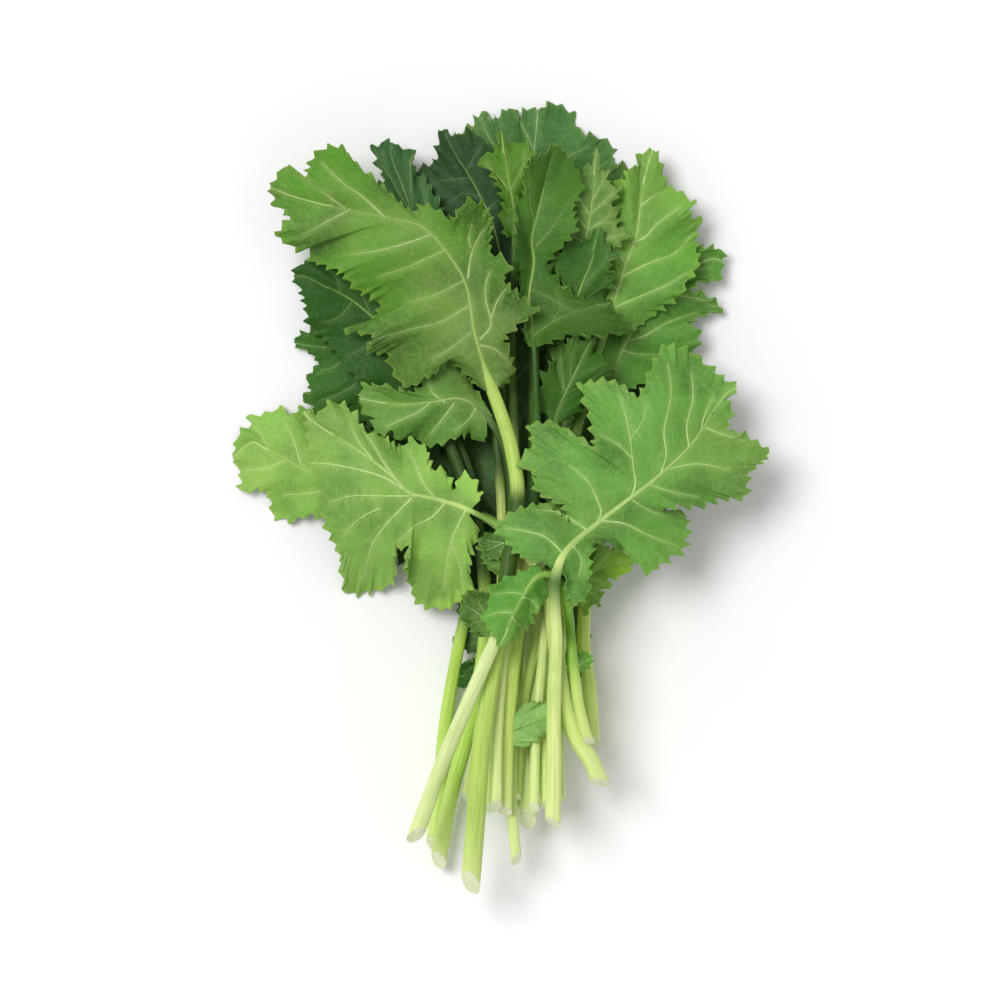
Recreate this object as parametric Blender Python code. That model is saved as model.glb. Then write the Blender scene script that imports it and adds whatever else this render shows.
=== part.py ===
"""A bunch of mustard greens lying on a table.

Each leaf is one solid: a stalk that runs on as the leaf's rib, with wings of blade on both sides.
The leaves are laid on the table one after another, and each is lifted clear of those under it.
The leaves are drawn on a sheet of half-millimetre squares, with x to the right and y down. On the
table +X is the bunch's right, +Y points from the cut ends to the leaf tips, and Z = 0 is the table.
Other lengths are in millimetres, and all become metres where the meshes are made.
"""

import math
from dataclasses import dataclass

import bmesh
import bpy
import numpy as np

MM = 0.001
SHEET_CENTRE = np.array((500.0, 498.0))
SHEET_SQUARE = 0.5

BLADE_THICKNESS = 0.95
LEAST_TRIANGLE = 1.4  # in square millimetres
UNFOLD_ROUNDS = 300
UNFOLD_PACE = 0.4
STALK_STEP = 24.0
LEAFLET_SHARES = (0.0, 0.3, 0.65, 1.0)

FAN_END = 0.82  # where the rib ends, as a share of the blade
FOOT_POWER = 1.15
RUFFLE_ROWS = 5.0
BROAD = 40.0

# The rule for leaves that lie hidden.
RULED_ROWS = 14
BASE_ANGLE = math.radians(112)
ANGLE_POWER = 0.65
RULED_LOBES = 3.5
RULED_BAY = 0.25
TOOTH = 2.0

RIB_AT_BASE = 0.66
RIB_AT_END = 0.55
RIB_TOP = 0.30
ROOT_HALF_THICKNESS = 0.6

CELL = 1.3
TABLE_HALF = (170.0, 230.0)
GAP = 1.0
LEAST_GAP = 0.5
PRESSED_FLAT = 0.8
LATTICE = 14
RELAX_ROUNDS = 70
CLEAR_ROUNDS = 60

LEFT, RIGHT = 1, -1
SIDES = (LEFT, RIGHT)


@dataclass
class Leaf:
    """One leaf: where it runs in plan, and how its blade is shaped. All points are on the sheet."""

    name: str
    route: tuple  # the stalk and rib, from the cut end to the blade's tip
    blade: float  # length of the blade along the route in mm, back from the tip
    heights: tuple  # free height of the rib at the cut end, blade base, blade middle and tip, in mm
    left: tuple = ()  # ends of the veins on the left, from the blade's base towards its tip
    right: tuple = ()
    widths: tuple = (30, 30)  # longest veins, in mm, of a leaf drawn by rule and not by its margins
    slopes: tuple = (0.0, 0.0)  # rise of the left half and of the right, away from the rib
    curl: float = -0.15  # rise of the margins, less than 0 where they droop
    ruffle: float = 4.5
    stalk: float = 3.4  # radius at the cut end, in mm
    leaflets: tuple = ()  # (mm back from the blade, side, length) of the stalk's small lobes
    tone: str = "leaf_mid"
    seed: int = 0


# From the bottom of the pile to the top.
LEAVES = (
    Leaf("leaf_under_right", ((512, 814), (528, 718), (552, 618), (588, 518), (644, 418), (690, 335)),
         96, (4, 2, 1, 1), widths=(42, 30), slopes=(-0.15, -0.15), ruffle=1, stalk=2.6,
         tone="leaf_dark", seed=1),
    Leaf("leaf_under_left", ((520, 818), (500, 718), (480, 618), (450, 522), (385, 450), (330, 378)),
         100, (4, 2, 1, 1), widths=(34, 32), slopes=(-0.15, -0.15), ruffle=1, stalk=2.6,
         tone="leaf_dark", seed=2),
    Leaf("leaf_under_middle", ((484, 800), (492, 720), (510, 618), (512, 498), (504, 378), (512, 262)),
         126, (4, 2, 1, 1), widths=(36, 46), slopes=(-0.15, -0.15), ruffle=1, stalk=2.6,
         tone="leaf_dark", seed=3),
    Leaf("leaf_under_front", ((526, 822), (524, 720), (520, 640), (516, 560), (512, 470), (516, 400)),
         126, (4, 2, 3, 2), widths=(38, 40), ruffle=3, stalk=2.6, tone="leaf_dark", seed=24),
    Leaf("leaf_left_outer",
         ((588, 752), (575, 700), (570, 640), (545, 570), (490, 520), (420, 500), (380, 490),
          (330, 478), (300, 468), (262, 448), (231, 458)),
         99, (4, 6, 8, 0),
         left=((420, 512), (402, 520), (385, 528), (368, 532), (350, 530), (335, 524), (320, 518),
               (305, 515), (290, 521), (271, 516), (268, 498), (256, 489), (240, 492), (238, 474)),
         right=((424, 488), (405, 478), (385, 462), (368, 452), (350, 440), (335, 425), (318, 412),
                (300, 407), (290, 414), (278, 406), (268, 412), (250, 415), (246, 427), (236, 434)),
         ruffle=4, stalk=3.2, tone="leaf_light", seed=4),
    Leaf("leaf_top_back", ((528, 830), (529, 740), (532, 600), (534, 450), (534, 300), (533, 200),
                           (538, 107)),
         112, (5, 8, 10, 3),
         left=((522, 325), (505, 310), (490, 292), (478, 272), (468, 250), (460, 228), (455, 205),
               (452, 180), (456, 155), (458, 132), (472, 121), (482, 108), (494, 117), (508, 104),
               (519, 113), (528, 105)),
         right=((546, 325), (562, 310), (578, 292), (592, 272), (602, 250), (610, 228), (615, 208),
                (622, 188), (634, 167), (613, 158), (615, 145), (604, 135), (588, 133), (578, 124),
                (574, 111), (556, 100)),
         ruffle=3.5, stalk=4.0, tone="leaf_dark", seed=5),
    Leaf("leaf_left_low", ((432, 852), (440, 780), (446, 720), (458, 650), (472, 580), (476, 500),
                           (455, 435), (430, 392), (392, 368), (352, 349), (320, 345), (292, 341)),
         99, (4, 8, 8, 2),
         left=((445, 446), (430, 450), (412, 446), (394, 438), (376, 428), (358, 420), (340, 412),
               (322, 412), (303, 402), (309, 390), (305, 378), (317, 360)),
         right=((464, 426), (462, 405), (450, 385), (434, 368), (416, 352), (398, 340), (380, 330),
                (362, 322), (345, 320), (328, 322), (312, 328), (298, 333)),
         ruffle=4, stalk=3.5, leaflets=((98, RIGHT, 13), (114, RIGHT, 13), (130, RIGHT, 13)),
         tone="leaf_dark", seed=7),
    Leaf("leaf_left_high", ((437, 870), (450, 800), (466, 740), (478, 690), (486, 620),
                            (478, 530), (452, 450), (415, 370), (385, 330), (355, 302),
                            (325, 285), (292, 276)),
         98, (5, 12, 14, 4),
         left=((418, 408), (400, 410), (384, 404), (368, 394), (356, 380), (345, 366), (334, 352),
               (324, 340), (312, 330), (306, 318), (304, 306), (300, 292)),
         right=((442, 392), (446, 372), (438, 350), (428, 330), (414, 312), (400, 296), (384, 282),
                (368, 270), (350, 262), (335, 257), (318, 258), (299, 261)),
         ruffle=4, stalk=4.0, tone="leaf_dark", seed=8),
    Leaf("leaf_top_back_left", ((466, 804), (480, 740), (505, 640), (515, 500), (512, 380), (508, 300),
                                (495, 230), (478, 190), (458, 155), (444, 126)),
         108, (5, 12, 16, 6),
         left=((500, 328), (482, 312), (466, 292), (454, 270), (448, 248), (446, 222), (430, 220),
               (412, 210), (412, 185), (416, 168), (425, 163), (434, 160), (437, 145), (438, 134)),
         right=((520, 328), (530, 312), (536, 295), (538, 275), (534, 255), (528, 235), (522, 215),
                (514, 195), (506, 178), (500, 160), (492, 146), (480, 136), (468, 128), (456, 134)),
         ruffle=4, stalk=3.1, tone="leaf_dark", seed=6),
    Leaf("leaf_top_left_small", ((490, 815), (492, 740), (500, 640), (502, 520), (492, 400), (474, 325),
                                 (440, 270), (418, 225), (404, 190), (394, 160), (394, 141)),
         85, (6, 16, 20, 12),
         left=((440, 292), (425, 285), (412, 272), (402, 255), (395, 236), (390, 218), (384, 202),
               (374, 190), (384, 176), (378, 162), (372, 148), (380, 140)),
         right=((458, 278), (462, 262), (458, 246), (452, 230), (445, 216), (438, 200), (430, 188),
                (424, 175), (415, 171), (411, 158), (410, 146), (402, 147)),
         ruffle=4, stalk=2.9, tone="leaf_dark", seed=9),
    Leaf("leaf_right_low", ((594, 748), (590, 690), (584, 640), (590, 550), (600, 450),
                            (612, 385), (625, 345), (640, 320), (656, 296), (675, 275),
                            (700, 264), (724, 262)),
         91, (6, 14, 18, 6),
         left=((600, 378), (598, 362), (606, 345), (612, 328), (620, 312), (630, 298), (636, 282),
               (648, 268), (655, 255), (668, 250), (680, 244), (690, 240), (702, 247), (722, 247)),
         right=((628, 388), (648, 380), (672, 372), (690, 360), (697, 348), (701, 331), (690, 321),
                (702, 314), (724, 307), (708, 295), (690, 290), (698, 281), (710, 276), (722, 280)),
         ruffle=5, stalk=3.6, leaflets=((146, LEFT, 12), (131, LEFT, 11), (116, LEFT, 10)), seed=10),
    Leaf("leaf_right_high", ((541, 803), (537, 740), (536, 660), (548, 560), (572, 450),
                             (592, 370), (605, 330), (618, 290), (627, 262), (637, 235),
                             (641, 205), (643, 188), (650, 165), (655, 148)),
         94, (8, 18, 24, 14),
         left=((596, 322), (590, 305), (592, 285), (598, 268), (600, 250), (612, 240), (602, 225),
               (614, 205), (603, 192), (612, 178), (622, 180), (628, 168), (638, 165), (641, 151)),
         right=((618, 335), (640, 325), (660, 310), (680, 295), (690, 278), (700, 262), (697, 240),
                (701, 221), (691, 213), (694, 202), (682, 190), (670, 184), (664, 170), (661, 157)),
         ruffle=6, stalk=3.8, tone="leaf_light", seed=11),
    Leaf("leaf_top_inner", ((516, 800), (524, 700), (546, 600), (560, 450), (570, 340),
                            (582, 260), (592, 205), (597, 150)),
         62, (8, 20, 24, 20), widths=(20, 18), ruffle=5, stalk=2.5, seed=22),
    Leaf("leaf_top_bright", ((517, 866), (512, 800), (514, 700), (516, 500), (512, 350),
                             (515, 260), (514, 210), (508, 175), (502, 133)),
         52, (8, 20, 26, 26),
         left=((508, 236), (502, 225), (500, 212), (502, 200), (500, 188), (497, 176), (492, 166),
               (477, 158), (490, 152), (496, 146)),
         right=((522, 235), (530, 226), (534, 212), (528, 200), (524, 188), (530, 178), (528, 165),
                (532, 150), (524, 140), (511, 142)),
         ruffle=4, stalk=2.7, tone="leaf_light", seed=12),
    Leaf("leaf_middle_right", ((547, 808), (545, 740), (545, 640), (550, 520), (558, 420), (566, 345),
                               (580, 290), (592, 260), (598, 228)),
         62, (8, 20, 28, 20),
         left=((556, 345), (545, 335), (540, 318), (546, 302), (540, 285), (552, 272), (548, 258),
               (562, 250), (568, 240), (585, 240)),
         right=((578, 345), (592, 340), (600, 328), (594, 314), (608, 304), (604, 290), (616, 280),
                (608, 266), (616, 254), (606, 242)),
         ruffle=6, stalk=3.0, seed=13),
    Leaf("leaf_middle_small", ((534, 812), (536, 740), (542, 660), (550, 560), (552, 470),
                               (556, 420), (566, 392), (579, 365), (590, 344)),
         43, (10, 26, 36, 28),
         left=((548, 415), (536, 405), (540, 390), (542, 375), (553, 364), (552, 350), (557, 338),
               (568, 343), (575, 333), (584, 340)),
         right=((566, 418), (580, 412), (582, 400), (588, 390), (600, 386), (606, 379), (616, 370),
                (606, 364), (604, 355), (596, 352)),
         ruffle=6, stalk=2.5, seed=15),
    Leaf("leaf_right_curl", ((561, 802), (559, 740), (560, 680), (566, 625), (578, 590),
                             (598, 570), (631, 561)),
         36, (12, 26, 34, 20),
         left=((572, 566), (578, 556), (588, 545), (597, 552), (603, 543), (611, 550), (619, 543),
               (625, 552)),
         right=((578, 603), (588, 614), (594, 600), (602, 606), (600, 592), (610, 588), (608, 579),
                (622, 576)),
         ruffle=4, stalk=2.5, leaflets=((22, RIGHT, 10), (40, RIGHT, 11)), seed=19),
    Leaf("leaf_top_middle", ((504, 816), (506, 740), (510, 690), (516, 640), (526, 560),
                             (536, 450), (534, 345), (529, 300), (534, 262), (532, 238),
                             (540, 205), (546, 180), (557, 145)),
         103, (8, 24, 34, 31),
         left=((524, 340), (524, 325), (524, 312), (523, 300), (520, 285), (517, 268), (516, 250),
               (516, 232), (517, 215), (514, 199), (526, 198), (524, 180), (528, 165), (538, 156)),
         right=((545, 340), (568, 332), (600, 336), (631, 332), (624, 318), (608, 305), (585, 300),
                (562, 285), (548, 262), (562, 245), (577, 228), (574, 205), (584, 185), (572, 160)),
         slopes=(0.5, 0.1), ruffle=5, stalk=4.2, leaflets=((200, RIGHT, 20), (174, RIGHT, 14)),
         seed=14),
    Leaf("leaf_middle_left", ((496, 812), (498, 720), (506, 620), (512, 520), (508, 460),
                              (490, 420), (463, 399), (430, 402), (398, 404), (360, 397)),
         69, (10, 26, 32, 22),
         left=((487, 436), (480, 442), (468, 434), (455, 438), (440, 443), (425, 447), (414, 438),
               (400, 440), (388, 430), (370, 437), (374, 420), (361, 411)),
         right=((482, 404), (470, 385), (462, 366), (445, 358), (432, 368), (424, 382), (412, 392),
                (400, 394), (392, 388), (382, 383), (372, 387), (362, 383)),
         ruffle=4, stalk=3.0, leaflets=((34, LEFT, 12), (56, LEFT, 15), (80, LEFT, 13)), seed=16),
    Leaf("leaf_left_broad", ((603, 788), (592, 762), (575, 735), (563, 700), (555, 640),
                             (545, 580), (510, 535), (473, 512), (440, 500), (410, 493),
                             (395, 479), (370, 459), (340, 439), (318, 424), (303, 410)),
         100, (10, 30, 34, 16),
         left=((480, 530), (468, 565), (468, 592), (446, 610), (418, 605), (411, 588), (404, 570),
               (414, 548), (391, 552), (393, 584), (368, 593), (344, 593), (341, 562), (325, 525),
               (320, 492), (308, 450)),
         right=((480, 500), (475, 480), (462, 473), (454, 488), (447, 472), (430, 466), (426, 448),
                (410, 439), (400, 447), (385, 437), (372, 434), (358, 428), (353, 412), (342, 403),
                (328, 402), (316, 414)),
         curl=-0.3, stalk=4.3, leaflets=((30, LEFT, 15), (52, RIGHT, 18)), tone="leaf_light", seed=17),
    Leaf("leaf_left_upper", ((470, 894), (476, 820), (481, 750), (488, 700), (497, 640),
                             (508, 570), (518, 500), (512, 450), (500, 410), (487, 375),
                             (474, 330), (466, 285), (445, 250), (420, 226), (385, 217),
                             (330, 205), (269, 186)),
         170, (10, 30, 46, 26),
         left=((478, 385), (466, 372), (452, 354), (437, 352), (428, 375), (408, 389), (393, 374),
               (384, 352), (364, 352), (374, 336), (347, 331), (377, 318), (376, 300), (354, 288),
               (342, 274), (328, 266), (308, 258), (309, 243), (297, 250), (276, 235), (289, 216),
               (274, 204)),
         right=((503, 388), (514, 372), (510, 352), (500, 335), (520, 322), (538, 311), (522, 298),
                (503, 280), (510, 263), (489, 250), (492, 222), (483, 204), (466, 202), (452, 220),
                (426, 204), (408, 213), (390, 193), (352, 160), (336, 146), (315, 152), (303, 177),
                (284, 165)),
         slopes=(-0.15, 0.1), ruffle=6, stalk=4.9, leaflets=((127, LEFT, 19),), seed=18),
    Leaf("leaf_right_inner",
         ((413, 844), (440, 770), (465, 710), (497, 637), (524, 588), (552, 545), (592, 502),
          (632, 474)),
         52, (12, 30, 38, 30), widths=(20, 18), ruffle=3, stalk=4.0, seed=26),
    Leaf("leaf_front_small", ((590, 745), (585, 730), (578, 700), (572, 650), (568, 608), (557, 578),
                              (536, 577), (516, 608), (502, 641)),
         40, (14, 34, 40, 28),
         left=((549, 594), (543, 600), (540, 609), (532, 615), (531, 625), (520, 630), (515, 639)),
         right=((540, 563), (520, 572), (504, 578), (489, 588), (489, 602), (482, 618), (490, 630)),
         ruffle=3, stalk=2.8, leaflets=((34, RIGHT, 8), (45, RIGHT, 9), (56, RIGHT, 8)), seed=21),
    Leaf("leaf_right_broad", ((553, 827), (554, 760), (554, 700), (556, 640), (554, 590),
                              (560, 560), (575, 541), (600, 521), (631, 497), (657, 477),
                              (690, 446), (711, 417), (738, 387)),
         130, (12, 36, 52, 28),
         left=((540, 556), (527, 560), (511, 548), (495, 528), (512, 512), (530, 506), (545, 504),
               (566, 524), (560, 502), (533, 488), (536, 474), (519, 461), (532, 443), (528, 424),
               (560, 427), (593, 450), (590, 420), (581, 384), (612, 381), (638, 396), (654, 360),
               (667, 344), (692, 351), (717, 372)),
         right=((572, 578), (566, 594), (574, 604), (587, 597), (590, 572), (592, 548), (606, 535),
                (633, 543), (628, 562), (650, 572), (668, 560), (685, 548), (687, 515), (662, 512),
                (682, 505), (703, 506), (722, 498), (747, 496), (749, 474), (770, 453), (748, 437),
                (727, 428), (734, 412), (727, 399)),
         curl=-0.2, ruffle=5, stalk=4.0, seed=20),
)

COLOURS = {
    "leaf_light": (0.30, 0.50, 0.10, 1),
    "leaf_mid": (0.13, 0.33, 0.06, 1),
    "leaf_dark": (0.045, 0.17, 0.035, 1),
    "stalk": (0.52, 0.64, 0.20, 1),
}


def smoothstep(x):
    """0 below 0, 1 above 1, and a smooth turn between them."""
    x = np.clip(x, 0.0, 1.0)
    return x * x * (3 - 2 * x)


def zigzag(x):
    """1 at even numbers and -1 at odd ones, with straight runs between."""
    return 2 * np.abs(np.mod(x, 2) - 1) - 1


def on_table(points):
    """Sheet points as millimetres on the table."""
    return (np.array(points, float) - SHEET_CENTRE) * (SHEET_SQUARE, -SHEET_SQUARE)


class Route:
    """A smooth curve in plan through a leaf's points, by distance from the cut end."""

    def __init__(self, points, steps=24):
        knots = on_table(points)
        padded = np.vstack([2 * knots[0] - knots[1], knots, 2 * knots[-1] - knots[-2]])
        line = []
        for p0, p1, p2, p3 in zip(padded, padded[1:], padded[2:], padded[3:]):
            for t in np.arange(steps) / steps:
                line.append(0.5 * (2 * p1 + (p2 - p0) * t + (2 * p0 - 5 * p1 + 4 * p2 - p3) * t**2
                                   + (3 * p1 - p0 - 3 * p2 + p3) * t**3))
        line.append(knots[-1])
        self.line = np.array(line)
        step = np.linalg.norm(np.diff(self.line, axis=0), axis=1)
        self.distance = np.concatenate([[0], np.cumsum(step)])
        self.length = self.distance[-1]

    def at(self, distance):
        """Points of the curve."""
        return np.stack([np.interp(distance, self.distance, self.line[:, k]) for k in (0, 1)], -1)

    def frame(self, distance, reach=4.0):
        """Unit directions along the curve and to its left, taken over a short reach."""
        ahead = self.at(min(distance + reach, self.length)) - self.at(max(distance - reach, 0))
        ahead /= np.linalg.norm(ahead)
        return ahead, np.array((-ahead[1], ahead[0]))


class Wings:
    """The blade's veins. A vein runs straight from a foot on the rib to its end on the margin. The
    place a is 0 at the blade's base and 1 at its tip."""

    def __init__(self, leaf, route):
        self.leaf = leaf
        self.route = route
        self.start = route.length - leaf.blade
        self.rows = len(leaf.left) or RULED_ROWS
        draw = np.random.default_rng(leaf.seed).random(4)
        self.phase = dict(zip(SIDES, draw[0:2] * math.tau))
        self.uneven = dict(zip(SIDES, draw[2:4] * math.tau))

    def foot(self, a):
        """Distance of the vein's foot along the route."""
        return self.start + self.leaf.blade * FAN_END * a**FOOT_POWER

    def end(self, row, side):
        """The margin's point for a row: one from the table, or one that the rule gives."""
        if row == self.rows:
            return self.route.at(self.route.length)
        if self.leaf.left:
            return on_table(self.leaf.left if side == LEFT else self.leaf.right)[row]
        a = row / self.rows
        ahead, aside = self.route.frame(self.foot(a))
        angle = BASE_ANGLE * (1 - a) ** ANGLE_POWER
        vein = math.cos(angle) * ahead + side * math.sin(angle) * aside
        return self.route.at(self.foot(a)) + self.length(a, side) * vein

    def length(self, a, side):
        """Length of a vein by rule: a rounded envelope with bays and teeth."""
        width = self.leaf.widths[SIDES.index(side)]
        round_base = 1 - 0.6 * np.clip(1 - a / 0.2, 0, 1) ** 2
        envelope = width * round_base * (1 + 0.1 * np.sin(math.tau * 1.5 * a + self.uneven[side]))
        blend = smoothstep((a - 0.6) / 0.4)
        envelope = (1 - blend) * envelope + blend * self.leaf.blade * (1 - FAN_END)
        bay = 0.5 - 0.5 * math.cos(math.tau * RULED_LOBES * (1 - a))
        return envelope * (1 - RULED_BAY * bay) + TOOTH * zigzag(a * self.rows)

    def relief(self, a, side, share, reach):
        """Height over the rib: the half's slope, the droop of its margin and the ruffles."""
        leaf = self.leaf
        slope = leaf.slopes[SIDES.index(side)]
        wave = np.sin(math.tau * a * self.rows / RUFFLE_ROWS + self.phase[side])
        fade = 1 - 0.7 * smoothstep((a - 0.7) / 0.3)
        return reach * (slope + leaf.curl * reach / BROAD) + leaf.ruffle * wave * share**1.6 * fade


class Pile:
    """The height of everything laid so far, on a grid of cells over the table."""

    def __init__(self):
        self.cells = [int(2 * half / CELL) for half in TABLE_HALF]
        self.top = np.zeros(self.cells)
        self.under = self.top

    def cell(self, xy):
        i = ((xy[..., 0] + TABLE_HALF[0]) / CELL).astype(int)
        j = ((xy[..., 1] + TABLE_HALF[1]) / CELL).astype(int)
        return i, j

    def add(self, xy, z):
        np.maximum.at(self.top, self.cell(xy), z)
        wide = np.pad(self.top, 1)
        ni, nj = self.cells
        self.under = np.max([wide[i:i + ni, j:j + nj] for i in range(3) for j in range(3)], axis=0)

    def height(self, xy):
        """The highest thing in a cell or in those round it."""
        return self.under[self.cell(xy)]


def lattice(n):
    """Barycentric weights of evenly spread points in a triangle."""
    return np.array([(i, j, n - i - j) for i in range(n + 1) for j in range(n + 1 - i)]) / n


class Skin:
    """One leaf's closed surface. Each point belongs to a row, a section across the leaf, and to a
    lane: left margin, left middle, rib, right middle or right margin."""

    RIB_LANE = 2

    def __init__(self):
        self.points, self.row, self.lane, self.faces, self.pale = [], [], [], [], []
        self.upper = []  # the blade's upper faces, counterclockwise seen from above

    def point(self, xy, z, row, lane):
        self.points.append((xy[0], xy[1], z))
        self.row.append(row)
        self.lane.append(lane)
        return len(self.points) - 1

    def quad(self, a, b, c, d, pale=False):
        """Two triangles; a to c is the diagonal."""
        self.faces += [(a, b, c), (a, c, d)]
        self.pale += [pale, pale]

    def strip(self, near, far, pale=False, turned=False):
        """Quads between two rows of points. A blade's lower face is turned, so that its diagonals
        lie under those of its upper face and the two never cross."""
        for a, b, c, d in zip(near, near[1:], far[1:], far):
            corners = (b, c, d, a) if turned else (a, b, c, d)
            self.quad(*corners, pale)

    def cap(self, loop, pale=False):
        """A fan of triangles over a loop."""
        for b, c in zip(loop[1:], loop[2:]):
            self.faces.append((loop[0], b, c))
            self.pale.append(pale)


def sections(leaf, wings):
    """Where the sections across the leaf stand: (distance, place on the blade or None, leaflets),
    where leaflets gives the length and share of a small lobe on each side."""
    spans = [(wings.start - back, wings.start - back + 0.8 * length, side, length)
             for back, side, length in leaf.leaflets]
    count = max(3, round(wings.start / STALK_STEP))
    plain = [s for s in np.linspace(0, wings.start, count, endpoint=False)
             if not any(low - 8 < s < high + 8 for low, high, _, _ in spans)]
    rows = [(s, None, {}) for s in plain]
    for low, high, side, length in spans:
        rows += [(low + share * (high - low), None, {side: (share, length)}) for share in LEAFLET_SHARES]
    rows.sort(key=lambda row: row[0])
    rows += [(float(wings.foot(a)), a, {}) for a in np.arange(wings.rows + 1) / wings.rows]
    return rows


def rib_radius(leaf, wings, distance):
    """The stalk narrows a little up to the blade, and the rib narrows to its end in the blade."""
    along_stalk = np.clip(distance / wings.start, 0, 1)
    end = wings.foot(1.0)
    along_rib = np.clip((distance - wings.start) / (end - wings.start), 0, 1)
    stalk = leaf.stalk * (1 - (1 - RIB_AT_BASE) * along_stalk**1.5)
    return stalk * (1 - along_rib) ** 0.8 + RIB_AT_END * along_rib


def free_height(leaf, route, wings, distance):
    """Height of the rib where nothing lifts it, a smooth line through the leaf's four heights."""
    stations = (0, wings.start, wings.start + leaf.blade / 2, route.length)
    fine = np.linspace(0, route.length, 200)
    raw = np.interp(fine, stations, leaf.heights)
    window = np.hanning(41)
    smooth = np.convolve(np.pad(raw, 20, mode="edge"), window / window.sum(), mode="valid")
    return np.interp(distance, fine, smooth)


def leaflet_vein(share, length):
    """Angle and length of the vein at a share of a leaflet's root."""
    angle = math.radians(95) - math.radians(60) * share
    return angle, max(2.0, length * math.sin(math.pi * (0.12 + 0.72 * share)) ** 0.8)


def build_skin(leaf, route, wings):
    """The leaf's closed surface, at its free height."""
    skin = Skin()
    half = BLADE_THICKNESS / 2
    rows = sections(leaf, wings)
    rings, chains = [], {LEFT: [], RIGHT: []}
    last = len(rows) - 1
    tip = None
    slant = np.random.default_rng(leaf.seed + 100).uniform(-0.7, 0.7)
    for n, (distance, a, leaflets) in enumerate(rows):
        centre = route.at(distance)
        ahead, aside = route.frame(distance)
        r = rib_radius(leaf, wings, distance)
        z = max(free_height(leaf, route, wings, distance), r)
        in_blade = a is not None
        shape = smoothstep((distance - wings.start + 14) / 28)
        side_half = (1 - shape) * r * 0.5 + shape * min(ROOT_HALF_THICKNESS, r)
        crown = r * (1 - (1 - RIB_TOP) * shape)

        def ring_point(across, up):
            cut = slant * across if n == 0 else 0.0
            return skin.point(centre + aside * across - ahead * cut, z + up, n, Skin.RIB_LANE)

        wide = 0.87 * r
        upper = {RIGHT: ring_point(-wide, side_half), LEFT: None}
        top = ring_point(0, max(crown, side_half + 0.1))
        upper[LEFT] = ring_point(wide, side_half)
        lower = {LEFT: ring_point(wide, -side_half), RIGHT: None}
        bottom = ring_point(0, -max(r, side_half + 0.1))
        lower[RIGHT] = ring_point(-wide, -side_half)
        rings.append((upper[RIGHT], top, upper[LEFT], lower[LEFT], bottom, lower[RIGHT]))
        for side in SIDES:
            if not in_blade and side not in leaflets:
                chains[side].append(None)
                continue
            if n == last and tip is not None:
                chains[side].append([upper[side], *tip, lower[side]])
                continue
            start = centre if n == last else centre + side * wide * aside
            if in_blade:
                vein = wings.end(round(a * wings.rows), side) - start
            else:
                angle, length = leaflet_vein(*leaflets[side])
                vein = length * (math.cos(angle) * ahead + side * math.sin(angle) * aside)
            reach = float(np.linalg.norm(vein))
            column = []
            for share in (0.5, 1.0):
                lane = Skin.RIB_LANE - side * (1 if share < 1 else 2)
                xy = start + share * vein
                rise = wings.relief(a, side, share, share * reach) if in_blade else 0.15 * share * reach
                level = max(z + rise, half)
                column.append([skin.point(xy, level + up, n, lane) for up in (half, -half)])
            (mid_top, mid_low), (rim_top, rim_low) = column
            made = (mid_top, rim_top, rim_low, mid_low)
            if n == last:
                tip = made
            chains[side].append([upper[side], *made, lower[side]])
    for n in range(last):
        near, far = rings[n], rings[n + 1]
        pale = rows[n][1] is None or rows[n][1] < 0.85
        skin.strip(near[:3], far[:3], pale)
        skin.strip(near[3:], far[3:], pale)
        for side in SIDES:
            here, there = chains[side][n], chains[side][n + 1]
            if here and there:
                first = len(skin.faces)
                skin.strip(here[:3], there[:3])
                skin.upper += [face[::-side] for face in skin.faces[first:]]
                skin.strip(here[2:4], there[2:4])
                skin.strip(here[3:], there[3:], turned=True)
            else:
                ends = (2, 3) if side == LEFT else (0, 5)
                skin.strip([near[e] for e in ends], [far[e] for e in ends], pale=True)
                for chain in (here, there):
                    if chain:
                        skin.quad(chain[0], chain[1], chain[4], chain[5])
                        skin.quad(chain[1], chain[2], chain[3], chain[4])
    skin.cap(rings[0], pale=True)
    right_top, top, left_top, left_low, bottom, right_low = rings[last]
    mid_top, _, _, mid_low = tip
    skin.cap((mid_top, right_top, top, left_top))
    skin.cap((mid_low, left_low, bottom, right_low))
    unfold(skin)
    return skin, len(rows)


def unfold(skin):
    """Moves the blade's points in plan until none of its triangles is folded over. A triangle that
    lacks area gets it from its corners, each moved in the measure in which it changes the area. The
    lower face's point follows the upper one's in the list, and stays under it."""
    points, upper = np.array(skin.points), np.array(skin.upper)
    xy = points[:, :2]
    loose = np.array(skin.lane)[upper] != Skin.RIB_LANE
    moved = np.unique(upper[loose])
    for _ in range(UNFOLD_ROUNDS):
        corners = xy[upper]
        edge = (np.roll(corners, -1, axis=1) - np.roll(corners, 1, axis=1)) / 2
        change = np.stack([edge[..., 1], -edge[..., 0]], -1)
        area = (corners * change).sum(axis=(1, 2)) / 2
        change *= loose[..., None]
        lack = np.maximum(LEAST_TRIANGLE - area, 0)
        share = UNFOLD_PACE * lack / np.maximum((change**2).sum(axis=(1, 2)), 1.0)
        move = np.zeros_like(xy)
        np.add.at(move, upper, share[:, None, None] * change)
        xy[moved] += move[moved]
        xy[moved + 1] = xy[moved]
    skin.points = points.tolist()


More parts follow.
